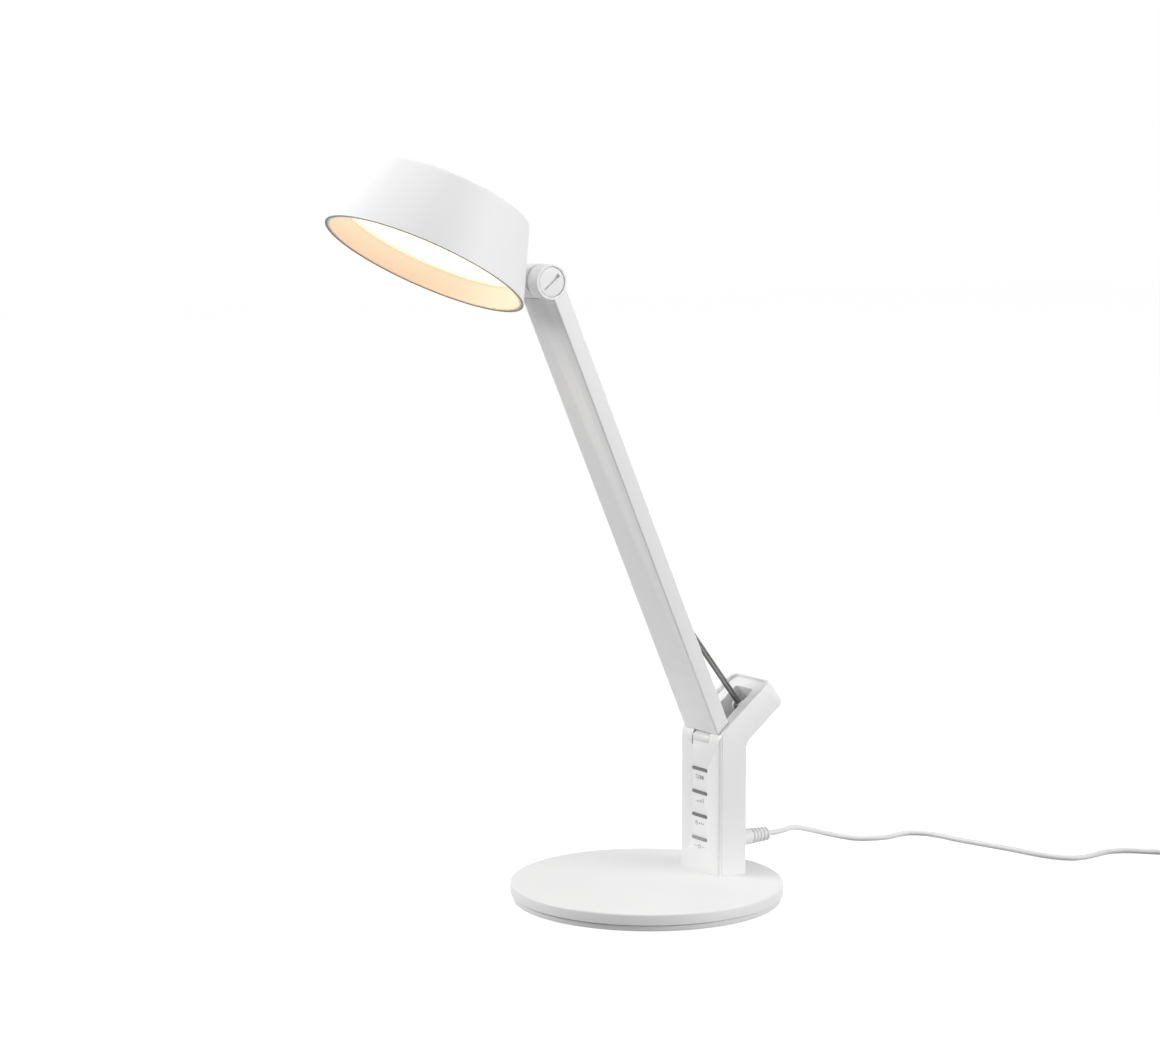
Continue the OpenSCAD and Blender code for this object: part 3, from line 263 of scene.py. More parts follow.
def cellular(name, size, dark, light, depth, ior, rough):
    """A dull surface of small cells, low in their middles; the darker middles are painted shade in the hollows."""
    material, tree, shader = new_surface(name, IOR=ior, Roughness=rough)
    cells = add_node(tree, "ShaderNodeTexVoronoi", {"Vector": object_points(tree), "Scale": 1 / size})
    # Painted shade: the cells get darker where they are lower.
    two_tone(tree, shader, cells.outputs["Distance"], linear(dark), linear(light))
    relief(tree, shader, cells.outputs["Distance"], depth)
    return material, shader


# ---------------- materials

def housing_abs():
    """ABS, moulded in a spark-eroded tool: an even satin white whose grain only softens the reflections.
    The real grain is about 0.1 mm; it is drawn at 0.7 mm, the finest that shows."""
    return moulded("moulded_white_abs", colours().housing, 0.42, 0.7 * MM, 0.006 * MM)


def arm_paint():
    """Aluminium with a powder coat: smooth white with a faint orange peel of about 2 mm."""
    material, tree, shader = new_surface("powder_coated_aluminium", IOR=1.5)
    points = object_points(tree)
    # The shade colour's extra lightness over the housings is painted light.
    tint(tree, shader, points, colours().shade, 60 * MM, 0.01)
    peel = add_node(tree, "ShaderNodeTexNoise", {"Vector": points, "Scale": 1 / (2.2 * MM), "Detail": 1.0})
    fleck = add_node(tree, "ShaderNodeTexNoise", {"Vector": points, "Scale": 1 / (0.6 * MM), "Detail": 2.0})
    gloss(tree, shader, fleck.outputs["Fac"], 0.33, 0.43)
    relief(tree, shader, peel.outputs["Fac"], 0.008 * MM)
    return material


def shade_paint():
    """Spun aluminium with a matt powder coat: soft reflections with no hot spot, and a fine peel."""
    # The shade colour's extra lightness over the housings is painted light.
    return grained(
        "matt_coated_aluminium", colours().shade, 70 * MM, 0.008, 1.6 * MM, 2.0, 0.46, 0.54, 0.006 * MM, 1.5)[0]


def inner_acetal():
    """Acetal, moulded and left bare: slightly waxy off-white, smoother than the housings."""
    return moulded("moulded_acetal", colours().inner, 0.32, 1.2 * MM, 0.004 * MM, ior=1.48)


def key_abs(name, tone):
    """ABS keys: plain grey, a little smoother than the housings, with a 0.5 mm grain."""
    return moulded(name, tone, 0.36, 0.5 * MM, 0.006 * MM)


def dark_nylon():
    """Glass-filled nylon: near-black grey with a coarse, dull grain."""
    return moulded("glass_filled_nylon", linear("#3A3B3D"), 0.55, 0.8 * MM, 0.012 * MM)


def pad_ink():
    """Pad-printed ink: a thin matt grey film with pinholes of about 0.3 mm."""
    return moulded("pad_printed_ink", colours().symbols, 0.6, 0.3 * MM, 0.002 * MM, ior=1.45)


def metal(name, tone, rough, line, stretch, depth):
    """A metal with tool or drawing marks stretched along one of the piece's axes."""
    material, tree, shader = new_surface(name, Metallic=1.0)
    cloud = add_node(
        tree, "ShaderNodeTexNoise", {"Vector": object_points(tree), "Scale": 1 / (9 * MM), "Detail": 2.0})
    two_tone(tree, shader, cloud.outputs["Fac"], shift(tone, -0.08), shift(tone, 0.06), 0.35, 0.65)
    grain(tree, shader, object_points(tree, scale=stretch), line, 3.0, rough - 0.07, rough + 0.08, depth)
    return material


def drawn_steel():
    """Drawn and polished steel rod: mid grey with fine lines along the rod, 0.3 mm apart."""
    return metal("drawn_polished_steel", linear("#8B8988"), 0.34, 0.3 * MM, (1, 1, 0.03), 0.004 * MM)


def zinc_steel():
    """Zinc-plated steel screws and pins: light grey with faint turning marks of 0.2 mm."""
    return metal("zinc_plated_steel", linear("#B4B6B9"), 0.34, 0.2 * MM, (1, 1, 1), 0.003 * MM)


def spring_wire():
    """Oil-tempered spring steel: darker, with drawing lines of 0.2 mm."""
    return metal("oil_tempered_spring_steel", linear("#5C5E61"), 0.3, 0.2 * MM, (1, 1, 0.2), 0.004 * MM)


def mill_aluminium():
    """Pressed aluminium sheet: pale grey with rolling lines of 0.4 mm along X."""
    return metal("rolled_aluminium_sheet", linear("#C9CACB"), 0.38, 0.4 * MM, (0.05, 1, 1), 0.004 * MM)


def cast_weight():
    """Sheet-steel ballast with a phosphate finish: dull dark grey, mottled at 1.5 mm."""
    return metal("phosphated_steel_plate", linear("#6A6B6C"), 0.58, 1.5 * MM, (1, 1, 1), 0.02 * MM)


def nickel_brass():
    """Nickel-plated brass contacts: bright, slightly warm metal with 0.15 mm turning marks."""
    return metal("nickel_plated_brass", linear("#C6C2B8"), 0.2, 0.15 * MM, (1, 1, 1), 0.002 * MM)


def liner_abs_greyed_for_shade():
    """ABS of the trough's liner, with the housings' grain; its slightly greyer white is painted shade for the
    enclosed trough.
    """
    return moulded("moulded_pale_grey_abs", colours().liner, 0.45, 0.7 * MM, 0.006 * MM)


def painted_shadow_lip_metal():
    """Dull grey-brown with 0.3 mm marks, painted on the shade's lip to stand for the shadow in the gap at the
    opening's edge.
    """
    return moulded("trimmed_bare_aluminium", colours().lip, 0.5, 0.3 * MM, 0.01 * MM)


def shade_points(tree, up):
    """Coordinates in the shade's own frame, from the middle of its opening raised by a height."""
    place = add_node(tree, "ShaderNodeTexCoord")
    return add_node(
        tree, "ShaderNodeMapping",
        {"Vector": place.outputs["Object"], "Location": shade_frame() @ Vector((0, 0, up)),
         "Rotation": (-SHADE_TILT, 0, 0)}, vector_type="TEXTURE").outputs["Vector"]


def shine(tree, shader, distance, start, end, first, last):
    """Warm light that changes softly from one strength to another between two distances."""
    shader.inputs["Emission Color"].default_value = colours().glow
    spread = add_node(
        tree, "ShaderNodeMapRange",
        {"Value": distance, "From Min": start, "From Max": end, "To Min": first, "To Max": last},
        interpolation_type="SMOOTHSTEP")
    tree.links.new(spread.outputs["Result"], shader.inputs["Emission Strength"])


def reflector_pc(rim, disc_plane):
    """Moulded polycarbonate with a matt skin, tinted peach and given a painted glow that stands for the disc's
    warm light falling on it, most beside the disc and least at the rim."""
    material, tree, shader = grained(
        "matt_warm_polycarbonate", colours().reflector, 30 * MM, 0.01, 1.1 * MM, 3.0, 0.48, 0.56, 0.004 * MM, 1.58)
    height = add_node(tree, "ShaderNodeSeparateXYZ", {"Vector": shade_points(tree, 0)})
    # Painted glow: emission standing for the disc's light on the reflector, fading towards the rim.
    shine(tree, shader, height.outputs["Z"], rim, disc_plane, levels().painted_glow_rim, levels().painted_glow_near)
    return material


def opal_disc_material(disc_plane, radius):
    """Opal acrylic, lit from behind: an even warm white that falls off softly in its outer fifth."""
    material, tree, shader = new_surface("opal_acrylic", IOR=1.49, Roughness=0.4)
    shader.inputs["Base Color"].default_value = linear("#B9B6AE")
    reach = add_node(tree, "ShaderNodeVectorMath", {0: shade_points(tree, disc_plane)}, operation="LENGTH")
    even = radius * 0.8
    shine(tree, shader, reach.outputs["Value"], even, radius, levels().disc_centre, levels().disc_edge)
    return material


def circuit_board():
    """Glass-epoxy circuit board: green mask over a woven core with a 0.6 mm weave."""
    material, tree, shader = new_surface("glass_epoxy_board", IOR=1.55, Roughness=0.3)
    points = object_points(tree)
    weave = add_node(
        tree, "ShaderNodeTexWave", {"Vector": points, "Scale": 1 / (1.2 * MM), "Distortion": 0.4},
        wave_type="BANDS", bands_direction="DIAGONAL")
    two_tone(tree, shader, weave.outputs["Fac"], linear("#24583A"), linear("#2F6B45"))
    relief(tree, shader, weave.outputs["Fac"], 0.01 * MM)
    return material


def white_board():
    """Aluminium-core lamp board: white solder mask, glossy, with a faint 1 mm ripple."""
    return moulded("white_solder_mask", linear("#EDEDE8"), 0.25, 1.0 * MM, 0.003 * MM)


def phosphor():
    """Lamp chips: silicone with yellow phosphor, cloudy at 0.8 mm."""
    return moulded("phosphor_silicone", linear("#E6C65A"), 0.3, 0.8 * MM, 0.01 * MM, ior=1.41)


def pad_foam():
    """Closed-cell EVA foam: dark grey and matt, with open cells about 0.8 mm wide."""
    return cellular("closed_cell_eva_foam", 0.8 * MM, "#3C3C3D", "#545456", 0.15 * MM, 1.4, 0.92)[0]


def lead_pvc():
    """Soft PVC jacket, extruded: satin white with faint waves of about 5 mm along the lead."""
    return grained("extruded_soft_pvc", colours().lead, 20 * MM, 0.02, 5 * MM, 2.0, 0.34, 0.46, 0.06 * MM, 1.52)[0]


def plug_pvc():
    """PVC moulded over the plug: softer and duller than the housings, with a 0.5 mm grain."""
    return moulded("overmoulded_pvc", colours().lead, 0.5, 0.5 * MM, 0.01 * MM)


def tie_strap_material():
    """Hook-and-loop strap: dark grey nylon with loops about 0.7 mm across."""
    material, shader = cellular("looped_nylon_strap", 0.7 * MM, "#2E2F31", "#515356", 0.2 * MM, 1.5, 0.9)
    shader.inputs["Sheen Weight"].default_value = 0.3
    return material


_finishes = {}


def finish_of(maker, *arguments):
    """The material of that maker, made once and shared."""
    key = (maker.__name__,) + arguments
    if key not in _finishes:
        _finishes[key] = maker(*arguments)
    return _finishes[key]


# ---------------- modelling by hand

def object_mode():
    if bpy.context.object is not None and bpy.context.object.mode != "OBJECT":
        bpy.ops.object.mode_set(mode="OBJECT")


def edit_all():
    """Opens the active object in edit mode with all of it selected."""
    bpy.ops.object.mode_set(mode="EDIT")
    bpy.ops.mesh.select_all(action="SELECT")


def select_only(*pieces):
    """Selects these objects alone, with the first one active."""
    object_mode()
    bpy.ops.object.select_all(action="DESELECT")
    for piece in pieces:
        piece.select_set(True)
    bpy.context.view_layer.objects.active = pieces[0]


def named(name):
    """Gives the new active object its name."""
    piece = bpy.context.object
    piece.name = piece.data.name = name
    return piece


def settle(piece, matrix=None):
    """Leaves edit mode, moves the piece to its place and keeps that place in its mesh."""
    select_only(piece)
    if matrix is not None:
        piece.matrix_world = matrix @ piece.matrix_basis
        bpy.context.view_layer.update()
    bpy.ops.object.transform_apply(location=True, rotation=True, scale=True)
    return piece


def apply_modifier(piece, kind, **settings):
    """Adds a modifier with its settings and applies it."""
    select_only(piece)
    bpy.ops.object.modifier_add(type=kind)
    modifier = piece.modifiers[-1]
    for key, value in settings.items():
        setattr(modifier, key, value)
    bpy.ops.object.modifier_apply(modifier=modifier.name)


def cut_slot(piece, middle, size, matrix):
    """Cuts a straight slot out of a piece. Its box is drawn in the matrix's own frame."""
    bpy.ops.object.select_all(action="DESELECT")
    bpy.ops.mesh.primitive_cube_add(size=1, location=middle, scale=size)
    cutter = settle(named("cutter"), matrix)
    apply_modifier(piece, "BOOLEAN", operation="DIFFERENCE", solver="EXACT", object=cutter)
    bpy.data.objects.remove(cutter)


def eased_outline(corners, steps=6):
    """Points of an open outline whose corners are arcs. A corner is (across, up, radius)."""
    points = []
    for i, (across, up, radius) in enumerate(corners):
        here = Vector((across, up))
        if radius == 0 or i in (0, len(corners) - 1):
            points.append(here)
            continue
        back = (Vector(corners[i - 1][:2]) - here).normalized()
        ahead = (Vector(corners[i + 1][:2]) - here).normalized()
        half = back.angle(ahead) / 2
        middle = here + (back + ahead).normalized() * radius / math.sin(half)
        first = (here + back * radius / math.tan(half) - middle).normalized()
        last = (here + ahead * radius / math.tan(half) - middle).normalized()
        points += [middle + radius * first.slerp(last, k / steps) for k in range(steps + 1)]
    return points


def turned(name, outline, steps=ROUND_STEPS, matrix=None):
    """Spins an outline about the Z axis. It is drawn point by point in the XZ plane, and a ring's
    outline ends where it starts."""
    start = outline[0]
    bpy.ops.object.select_all(action="DESELECT")
    bpy.ops.mesh.primitive_plane_add(size=MM, location=(start[0], 0, start[1]))
    piece = named(name)
    bpy.ops.object.mode_set(mode="EDIT")
    bpy.ops.mesh.merge(type="CENTER")
    for before, after in zip(outline, outline[1:]):
        step = (after[0] - before[0], 0, after[1] - before[1])
        bpy.ops.mesh.extrude_vertices_move(TRANSFORM_OT_translate={"value": step})
    bpy.ops.mesh.select_all(action="SELECT")
    bpy.ops.mesh.spin(steps=steps, angle=2 * math.pi, center=(0, 0, 0), axis=(0, 0, 1))
    bpy.ops.mesh.select_all(action="SELECT")
    bpy.ops.mesh.remove_doubles(threshold=WELD)
    bpy.ops.mesh.normals_make_consistent(inside=False)
    return settle(piece, matrix)


def joined(name, *pieces):
    """Joins finished shapes into one piece."""
    select_only(*pieces)
    bpy.ops.object.join()
    return named(name)


def posts(radius, low, high, reach, degrees, matrix=Matrix.Identity(4)):
    """Round posts along Z with a chamfer at each end, at these angles round the middle."""
    chamfer = 0.2 * MM
    outline = [(0, low), (radius - chamfer, low), (radius, low + chamfer),
               (radius, high - chamfer), (radius - chamfer, high), (0, high)]
    for angle in map(math.radians, degrees):
        place = Matrix.Translation((reach * math.cos(angle), reach * math.sin(angle), 0))
        yield turned("post", outline, SMALL_STEPS, matrix @ place)


def eased_copy(node, name, width, segments=2):
    """A copy of a node's mesh, its triangles merged into whole faces and its sharp edges rounded."""
    piece = bpy.data.objects.new(name, frame["nodes"][node].data.copy())
    bpy.context.scene.collection.objects.link(piece)
    select_only(piece)
    bpy.ops.mesh.customdata_custom_splitnormals_clear()
    edit_all()
    bpy.ops.mesh.remove_doubles(threshold=WELD)
    bpy.ops.mesh.dissolve_limited(angle_limit=FLAT_ANGLE)
    object_mode()
    if width > 0:
        apply_modifier(
            piece, "BEVEL", width=width, segments=segments, limit_method="ANGLE",
            angle_limit=SHARP_ANGLE, miter_outer="MITER_ARC", use_clamp_overlap=True)
    return piece


def finish_piece(piece, body, slot, material, *nodes):
    """Gives a piece its material, smooth shading and body, and hides the nodes that it stands for; the slot
    argument is not used.
    """
    piece.data.materials.clear()
    piece.data.materials.append(material)
    select_only(piece)
    bpy.ops.object.shade_smooth_by_angle(angle=SMOOTH_ANGLE)
    bpy.ops.object.select_all(action="DESELECT")
    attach(piece, body)
    if nodes:
        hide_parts(*nodes)
    return piece


def body_of(node):
    """The body that a node rides on."""
    bodies = frame["record"]["behaviour"]["bodies"]
    return next(body for body, nodes in bodies.items() if node in nodes)


def refine(node, name, slot, material, width, segments=2):
    """Puts a copy with rounded edges and a better material in the node's place."""
    return finish_piece(eased_copy(node, name, width, segments), body_of(node), slot, material, node)


def dress(material, *nodes):
    """Gives nodes that keep their shape a better material."""
    for name in nodes:
        mesh = frame["nodes"][name].data
        mesh.materials.clear()
        mesh.materials.append(material)


def joint_place(name):
    """Where a joint lies at rest."""
    return Vector(next(j["pos_m"] for j in frame["joints"] if j["name"] == name))


# ---------------- the shade's own frame

SHADE_TILT = math.radians(27.5)
SHADE_REACH = 68.8 * MM
SHADE_DROP = 24.2 * MM
SHADE_HEIGHT = 42.8 * MM
SHADE_LOW_RADIUS = 58.6 * MM
SHADE_HIGH_RADIUS = 44.2 * MM
HEAD_PIVOT = joint_place("shade_tilt")


def shade_frame():
    """The shade's frame: its origin is the middle of the opening, and Z runs up through the shade."""
    turn = Matrix.Rotation(-SHADE_TILT, 4, "X")
    return Matrix.Translation(HEAD_PIVOT) @ turn @ Matrix.Translation((0, -SHADE_REACH, -SHADE_DROP))


def shade_radius(up):
    """The shade's outer radius at a height above its opening."""
    return SHADE_LOW_RADIUS + (SHADE_HIGH_RADIUS - SHADE_LOW_RADIUS) * up / SHADE_HEIGHT


# ---------------- stage

def seen_by_camera(tree, plain, seen):
    """One shader for the camera, mirrors and glass, and another for the light on the object."""
    path = add_node(tree, "ShaderNodeLightPath")
    glossy = add_node(
        tree, "ShaderNodeMath",
        {0: path.outputs["Is Camera Ray"], 1: path.outputs["Is Glossy Ray"]}, operation="MAXIMUM")
    clear = add_node(
        tree, "ShaderNodeMath",
        {0: glossy.outputs[0], 1: path.outputs["Is Transmission Ray"]}, operation="MAXIMUM")
    return add_node(tree, "ShaderNodeMixShader", {0: clear.outputs[0], 1: plain, 2: seen}).outputs[0]


class LAMP_OT_stage(bpy.types.Operator):
    """Makes the floor, the even sky, the soft boxes and the camera"""

    bl_idname = "task_lamp.stage"
    bl_label = "Stage"

    floor_size = 14.0
    floor_bounce = "#989898"
    floor_shadow = 0.42
    floor_glow = 0.87
    camera_place = (1.3530, -0.9538, 0.4233)
    camera_look = (-0.8246, 0.5526, -0.1210)
    aim = Vector((0, 0, 0.2))
    boxes = (
        ("top_box", Vector((0.13, -0.13, 2.3)), 1.6),
        ("front_box", Vector((-1.1, -1.75, 1.21)), 1.2),
        ("side_box", Vector((1.92, 1.12, 0.8)), 1.6),
    )

    def floor(self):
        """A floor that the camera sees as white, and that gives back less light than it seems to."""
        bpy.ops.object.select_all(action="DESELECT")
        bpy.ops.mesh.primitive_plane_add(size=self.floor_size, location=(0, 0, 0))
        floor = named("floor")
        material = bpy.data.materials.new("white_studio_floor")
        tree = empty_tree(material)
        plain = add_node(tree, "ShaderNodeBsdfDiffuse", {"Color": linear(self.floor_bounce)})
        shaded = add_node(tree, "ShaderNodeBsdfDiffuse", {"Color": (*[self.floor_shadow] * 3, 1)})
        lift = add_node(tree, "ShaderNodeEmission", {"Color": (1, 1, 1, 1), "Strength": self.floor_glow})
        seen = add_node(tree, "ShaderNodeAddShader", {0: shaded.outputs[0], 1: lift.outputs[0]})
        surface = seen_by_camera(tree, plain.outputs[0], seen.outputs[0])
        add_node(tree, "ShaderNodeOutputMaterial", {"Surface": surface})
        floor.data.materials.append(material)

    def sky(self):
        """An even pale light all round, which the camera sees as white."""
        world = bpy.data.worlds.new("studio")
        bpy.context.scene.world = world
        tree = empty_tree(world)
        plain, seen = (
            add_node(tree, "ShaderNodeBackground", {"Color": (1, 1, 1, 1), "Strength": strength})
            for strength in (levels().sky, 1.0))
        surface = seen_by_camera(tree, plain.outputs[0], seen.outputs[0])
        add_node(tree, "ShaderNodeOutputWorld", {"Surface": surface})

    def soft_box(self, name, place, size, watts):
        """A round soft box that faces the lamp."""
        bpy.ops.object.light_add(type="AREA", location=place)
        light = bpy.context.object
        light.name = name
        light.data.shape = "DISK"
        light.data.size = size
        light.data.energy = watts
        light.rotation_euler = (place - self.aim).to_track_quat("Z", "Y").to_euler()

    def camera(self):
        """The camera, off to one side of the keys."""
        bpy.ops.object.camera_add(location=self.camera_place)
        camera = bpy.context.object
        camera.rotation_euler = Vector(self.camera_look).to_track_quat("-Z", "Y").to_euler()
        camera.data.lens = levels().lens
        camera.data.sensor_width = 36
        camera.data.clip_end = 60
        bpy.context.scene.camera = camera

    def execute(self, context):
        context.scene.view_settings.view_transform = "Standard"
        self.floor()
        self.sky()
        for name, place, size in self.boxes:
            self.soft_box(name, place, size, getattr(levels(), name))
        self.camera()
        return {"FINISHED"}


# ---------------- base

class LAMP_OT_base(bpy.types.Operator):
    """Makes the cover plate, the underside cover, the foam foot and the weight's finish"""

    bl_idname = "task_lamp.base"
    bl_label = "Base"

    roof_thick = 2 * MM
    boss_radius = 3.2 * MM
    boss_low = 4.25 * MM
    screw_ring = 60 * MM
    screw_angles = (45, 135, 225, 315)
    floor_top = 3.4 * MM
    floor_thick = 1 * MM
    lip_thick = 1.5 * MM

    def cover_plate(self):
        low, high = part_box("base_cover")
        radius, wall = high.x, sizes().base_wall
        roof = high.z - self.roof_thick
        outline = eased_outline([
            (0, roof, 0), (radius - wall, roof, 1.0 * MM), (radius - wall, low.z, 0.25 * MM),
            (radius, low.z, 0.3 * MM), (radius, high.z, sizes().base_edge), (0, high.z, 0),
        ])
        plate = turned("cover_plate", outline)
        bosses = posts(self.boss_radius, self.boss_low, roof + 0.5 * MM, self.screw_ring, self.screw_angles)
        plate = joined("cover_plate", plate, *bosses)
        finish_piece(plate, "base", "white_shell", finish_of(housing_abs), "base_cover")

    def underside(self):
        low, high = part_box("base_bottom")
        radius, step = high.x, self.floor_top
        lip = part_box("base_cover")[1].x - sizes().base_wall - 0.15 * MM
        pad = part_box("base_pad")[1]
        outline = eased_outline([
            (0, pad.z, 0), (pad.x + 0.15 * MM, pad.z, 0), (pad.x + 0.15 * MM, low.z, 0.15 * MM),
            (radius, low.z, 0.5 * MM), (radius, step, 0.3 * MM), (lip, step, 0), (lip, high.z, 0.3 * MM),
            (lip - self.lip_thick, high.z, 0.3 * MM), (lip - self.lip_thick, step - self.floor_thick, 0),
            (0, step - self.floor_thick, 0),
        ])
        cover = turned("underside_cover", outline)
        finish_piece(cover, "base", "pale_part", finish_of(inner_acetal), "base_bottom")

    def foot(self):
        low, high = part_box("base_pad")
        outline = eased_outline([
            (0, low.z, 0), (high.x, low.z, 0.25 * MM), (high.x, high.z, 0.1 * MM), (0, high.z, 0)])
        finish_piece(turned("foam_foot", outline), "base", "pad_foam", finish_of(pad_foam), "base_pad")

    def execute(self, context):
        self.cover_plate()
        self.underside()
        self.foot()
        dress(finish_of(cast_weight), "base_weight")
        dress(finish_of(zinc_steel), "base_screws")
        return {"FINISHED"}


# ---------------- upright

class LAMP_OT_upright(bpy.types.Operator):
    """Makes the upright's casing, front panel and trough liner, and finishes what they hold"""

    bl_idname = "task_lamp.upright"
    bl_label = "Upright"

    def execute(self, context):
        ease = sizes().panel_ease
        white, acetal = finish_of(housing_abs), finish_of(inner_acetal)
        for node, name, slot, material in (
                ("stem_shell", "stem_casing", "white_shell", white),
                ("stem_front", "key_panel", "white_shell", white),
                ("trough_insert", "trough_liner", "white_shell", finish_of(liner_abs_greyed_for_shade)),
                ("hinge_block", "hinge_cheeks", "pale_part", acetal),
                ("rod_bracket", "rod_ears", "pale_part", acetal)):
            refine(node, name, slot, material, ease)
        dress(finish_of(zinc_steel), "stem_foot", "stem_screws", "rod_pin", "elbow_pin", "elbow_washer")
        return {"FINISHED"}


# ---------------- keys

class LAMP_OT_keys(bpy.types.Operator):
    """Makes the four keys and the symbols under them, and finishes the board behind them"""

    bl_idname = "task_lamp.keys"
    bl_label = "Keys and symbols"

    drop = 4.75 * MM
    proud = 0.05 * MM

    def ring(self, radius, share=1.0, x=0.0):
        """A flat ring, or the share of one that is left when its top is cut away."""
        inner, outer = radius - sizes().stroke, radius
        start = bpy.context.scene.cursor.location + Vector((x, 0, 0))
        bpy.ops.mesh.primitive_plane_add(size=MM, location=start + Vector((0, 0, -inner)))
        piece = bpy.context.object
        bpy.ops.object.mode_set(mode="EDIT")
        bpy.ops.mesh.merge(type="CENTER")
        bpy.ops.mesh.extrude_vertices_move(TRANSFORM_OT_translate={"value": (0, 0, inner - outer)})
        half = math.pi * share
        for turn in (half, -half):
            bpy.ops.mesh.select_all(action="DESELECT")
            object_mode()
            for part in (*piece.data.vertices[:2], piece.data.edges[0]):
                part.select = True
            bpy.ops.object.mode_set(mode="EDIT")
            bpy.ops.mesh.spin(steps=SMALL_STEPS // 2, angle=turn, center=start, axis=(0, 1, 0))
        bpy.ops.mesh.select_all(action="SELECT")
        bpy.ops.mesh.remove_doubles(threshold=WELD)
        object_mode()
        return piece

    def bar(self, x, z, wide, tall):
        """A flat bar."""
        place = bpy.context.scene.cursor.location + Vector((x, 0, z))
        bpy.ops.mesh.primitive_plane_add(size=1, location=place, rotation=(math.pi / 2, 0, 0))
        piece = bpy.context.object
        piece.scale = (wide, tall, 1)
        bpy.ops.object.transform_apply(location=False, rotation=True, scale=True)
        return piece

    def dot(self, radius, x=0.0):
        """A flat disc."""
        place = bpy.context.scene.cursor.location + Vector((x, 0, 0))
        bpy.ops.mesh.primitive_circle_add(
            vertices=24, radius=radius, fill_type="NGON", location=place, rotation=(math.pi / 2, 0, 0))
        bpy.ops.object.transform_apply(location=False, rotation=True, scale=False)
        return bpy.context.object

    def colour_symbol(self, r):
        """An empty, a half full and a full disc"""
        aside = 2.15 * r
        halves = [self.bar(x * r, 0, sizes().stroke, 2 * r * math.sqrt(1 - x * x)) for x in (0.2, 0.55)]
        return [self.ring(r, x=-aside), self.ring(r), self.dot(r, aside)] + halves

    def dimmer_symbol(self, r):
        """Bars that grow from left to right"""
        count = 6
        bars = []
        for k in range(count):
            tall = 2 * r * (k + 1) / count
            bars.append(self.bar((k - (count - 1) / 2) * 1.1 * r, tall / 2 - r, 0.55 * r, tall))
        return bars

    def timer_symbol(self, r):
        """A clock and three dots"""
        stroke = sizes().stroke
        middle = -2.2 * r
        clock = [self.ring(r, x=middle), self.bar(middle, r * 0.28, stroke, r * 0.6),
                 self.bar(middle + r * 0.22, -r * 0.06, r * 0.5, stroke)]
        return clock + [self.dot(0.42 * r, x * r) for x in (-0.2, 1.3, 2.8)]

    def power_symbol(self, r):
        """The power sign between two rows of bars"""
        stroke = sizes().stroke
        sides = [self.bar(side * x * r, 0, 0.8 * r, stroke) for side in (-1, 1) for x in (2.0, 3.4)]
        return [self.ring(r, 0.8), self.bar(0, r * 0.55, stroke, r * 0.9)] + sides

    def symbol(self, name, draw, key_node):
        low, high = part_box(key_node)
        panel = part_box("stem_front")[0].y
        middle = Vector((0, panel, (low.z + high.z) / 2 - self.drop))
        bpy.context.scene.cursor.location = middle
        bpy.ops.object.select_all(action="DESELECT")
        mark = joined(name, *draw(sizes().symbol / 2))
        settle(mark)
        edit_all()
        bpy.ops.mesh.extrude_region_move(TRANSFORM_OT_translate={"value": (0, -self.proud, 0)})
        bpy.ops.mesh.select_all(action="SELECT")
        bpy.ops.mesh.normals_make_consistent(inside=False)
        object_mode()
        bpy.context.scene.cursor.location = (0, 0, 0)
        finish_piece(mark, "base", "grey_keys", finish_of(pad_ink))

    def execute(self, context):
        grey = finish_of(key_abs, "moulded_grey_abs", tuple(colours().keys))
        light = finish_of(key_abs, "moulded_light_grey_abs", tuple(colours().power_key))
        for name, draw, slot, material in (
                ("colour", self.colour_symbol, "grey_keys", grey),
                ("dimmer", self.dimmer_symbol, "grey_keys", grey),
                ("timer", self.timer_symbol, "grey_keys", grey),
                ("power", self.power_symbol, "light_key", light)):
            refine("key_" + name, name + "_key_cap", slot, material, sizes().key_ease, 3)
            self.symbol(name + "_symbol", draw, "key_" + name)
        dress(finish_of(circuit_board), "key_board")
        dress(finish_of(dark_nylon), "key_switches", "dc_jack")
        return {"FINISHED"}


# ---------------- rod and spring

class LAMP_OT_linkage(bpy.types.Operator):
    """Finishes the pull rod, its slider, the spring and its anchor"""

    bl_idname = "task_lamp.linkage"
    bl_label = "Rod and spring"

    rod_radius = 1.85 * MM
    rod_length = 106 * MM
    rod_lean = math.radians(37.9)
    groove_depth = 0.9 * MM
    groove_end = 9 * MM

    def rod(self):
        """The rod, with a groove milled along each side."""
        shaft = eased_copy("pull_rod", "pull_rod_shaft", sizes().metal_ease)
        place = Matrix.Translation(joint_place("rod_foot")) @ Matrix.Rotation(self.rod_lean, 4, "X")
        size = (2 * self.groove_depth, sizes().rod_groove, self.rod_length - 2 * self.groove_end)
        for side in (-1, 1):
            cut_slot(shaft, (side * self.rod_radius, 0, self.rod_length / 2), size, place)
        finish_piece(shaft, "rod", "dark_steel", finish_of(drawn_steel), "pull_rod")

    def execute(self, context):
        self.rod()
        dress(finish_of(dark_nylon), "spring_slider")
        dress(finish_of(inner_acetal), "spring_anchor")
        dress(finish_of(spring_wire), "balance_spring")
        return {"FINISHED"}


# ---------------- arm

class LAMP_OT_arm(bpy.types.Operator):
    """Makes the arm's channel, rear cover and knuckle, and finishes its screws and wire"""

    bl_idname = "task_lamp.arm"
    bl_label = "Arm"

    def execute(self, context):
        ease, paint = sizes().arm_ease, finish_of(arm_paint)
        refine("arm_channel", "arm_beam", "white_shell", paint, ease)
        refine("arm_back", "arm_rear_cover", "white_shell", paint, ease)
        refine("arm_knuckle", "elbow_knuckle", "pale_part", finish_of(inner_acetal), ease)
        dress(finish_of(zinc_steel), "arm_screws")
        dress(finish_of(plug_pvc), "arm_wire")
        return {"FINISHED"}


# ---------------- head pivot

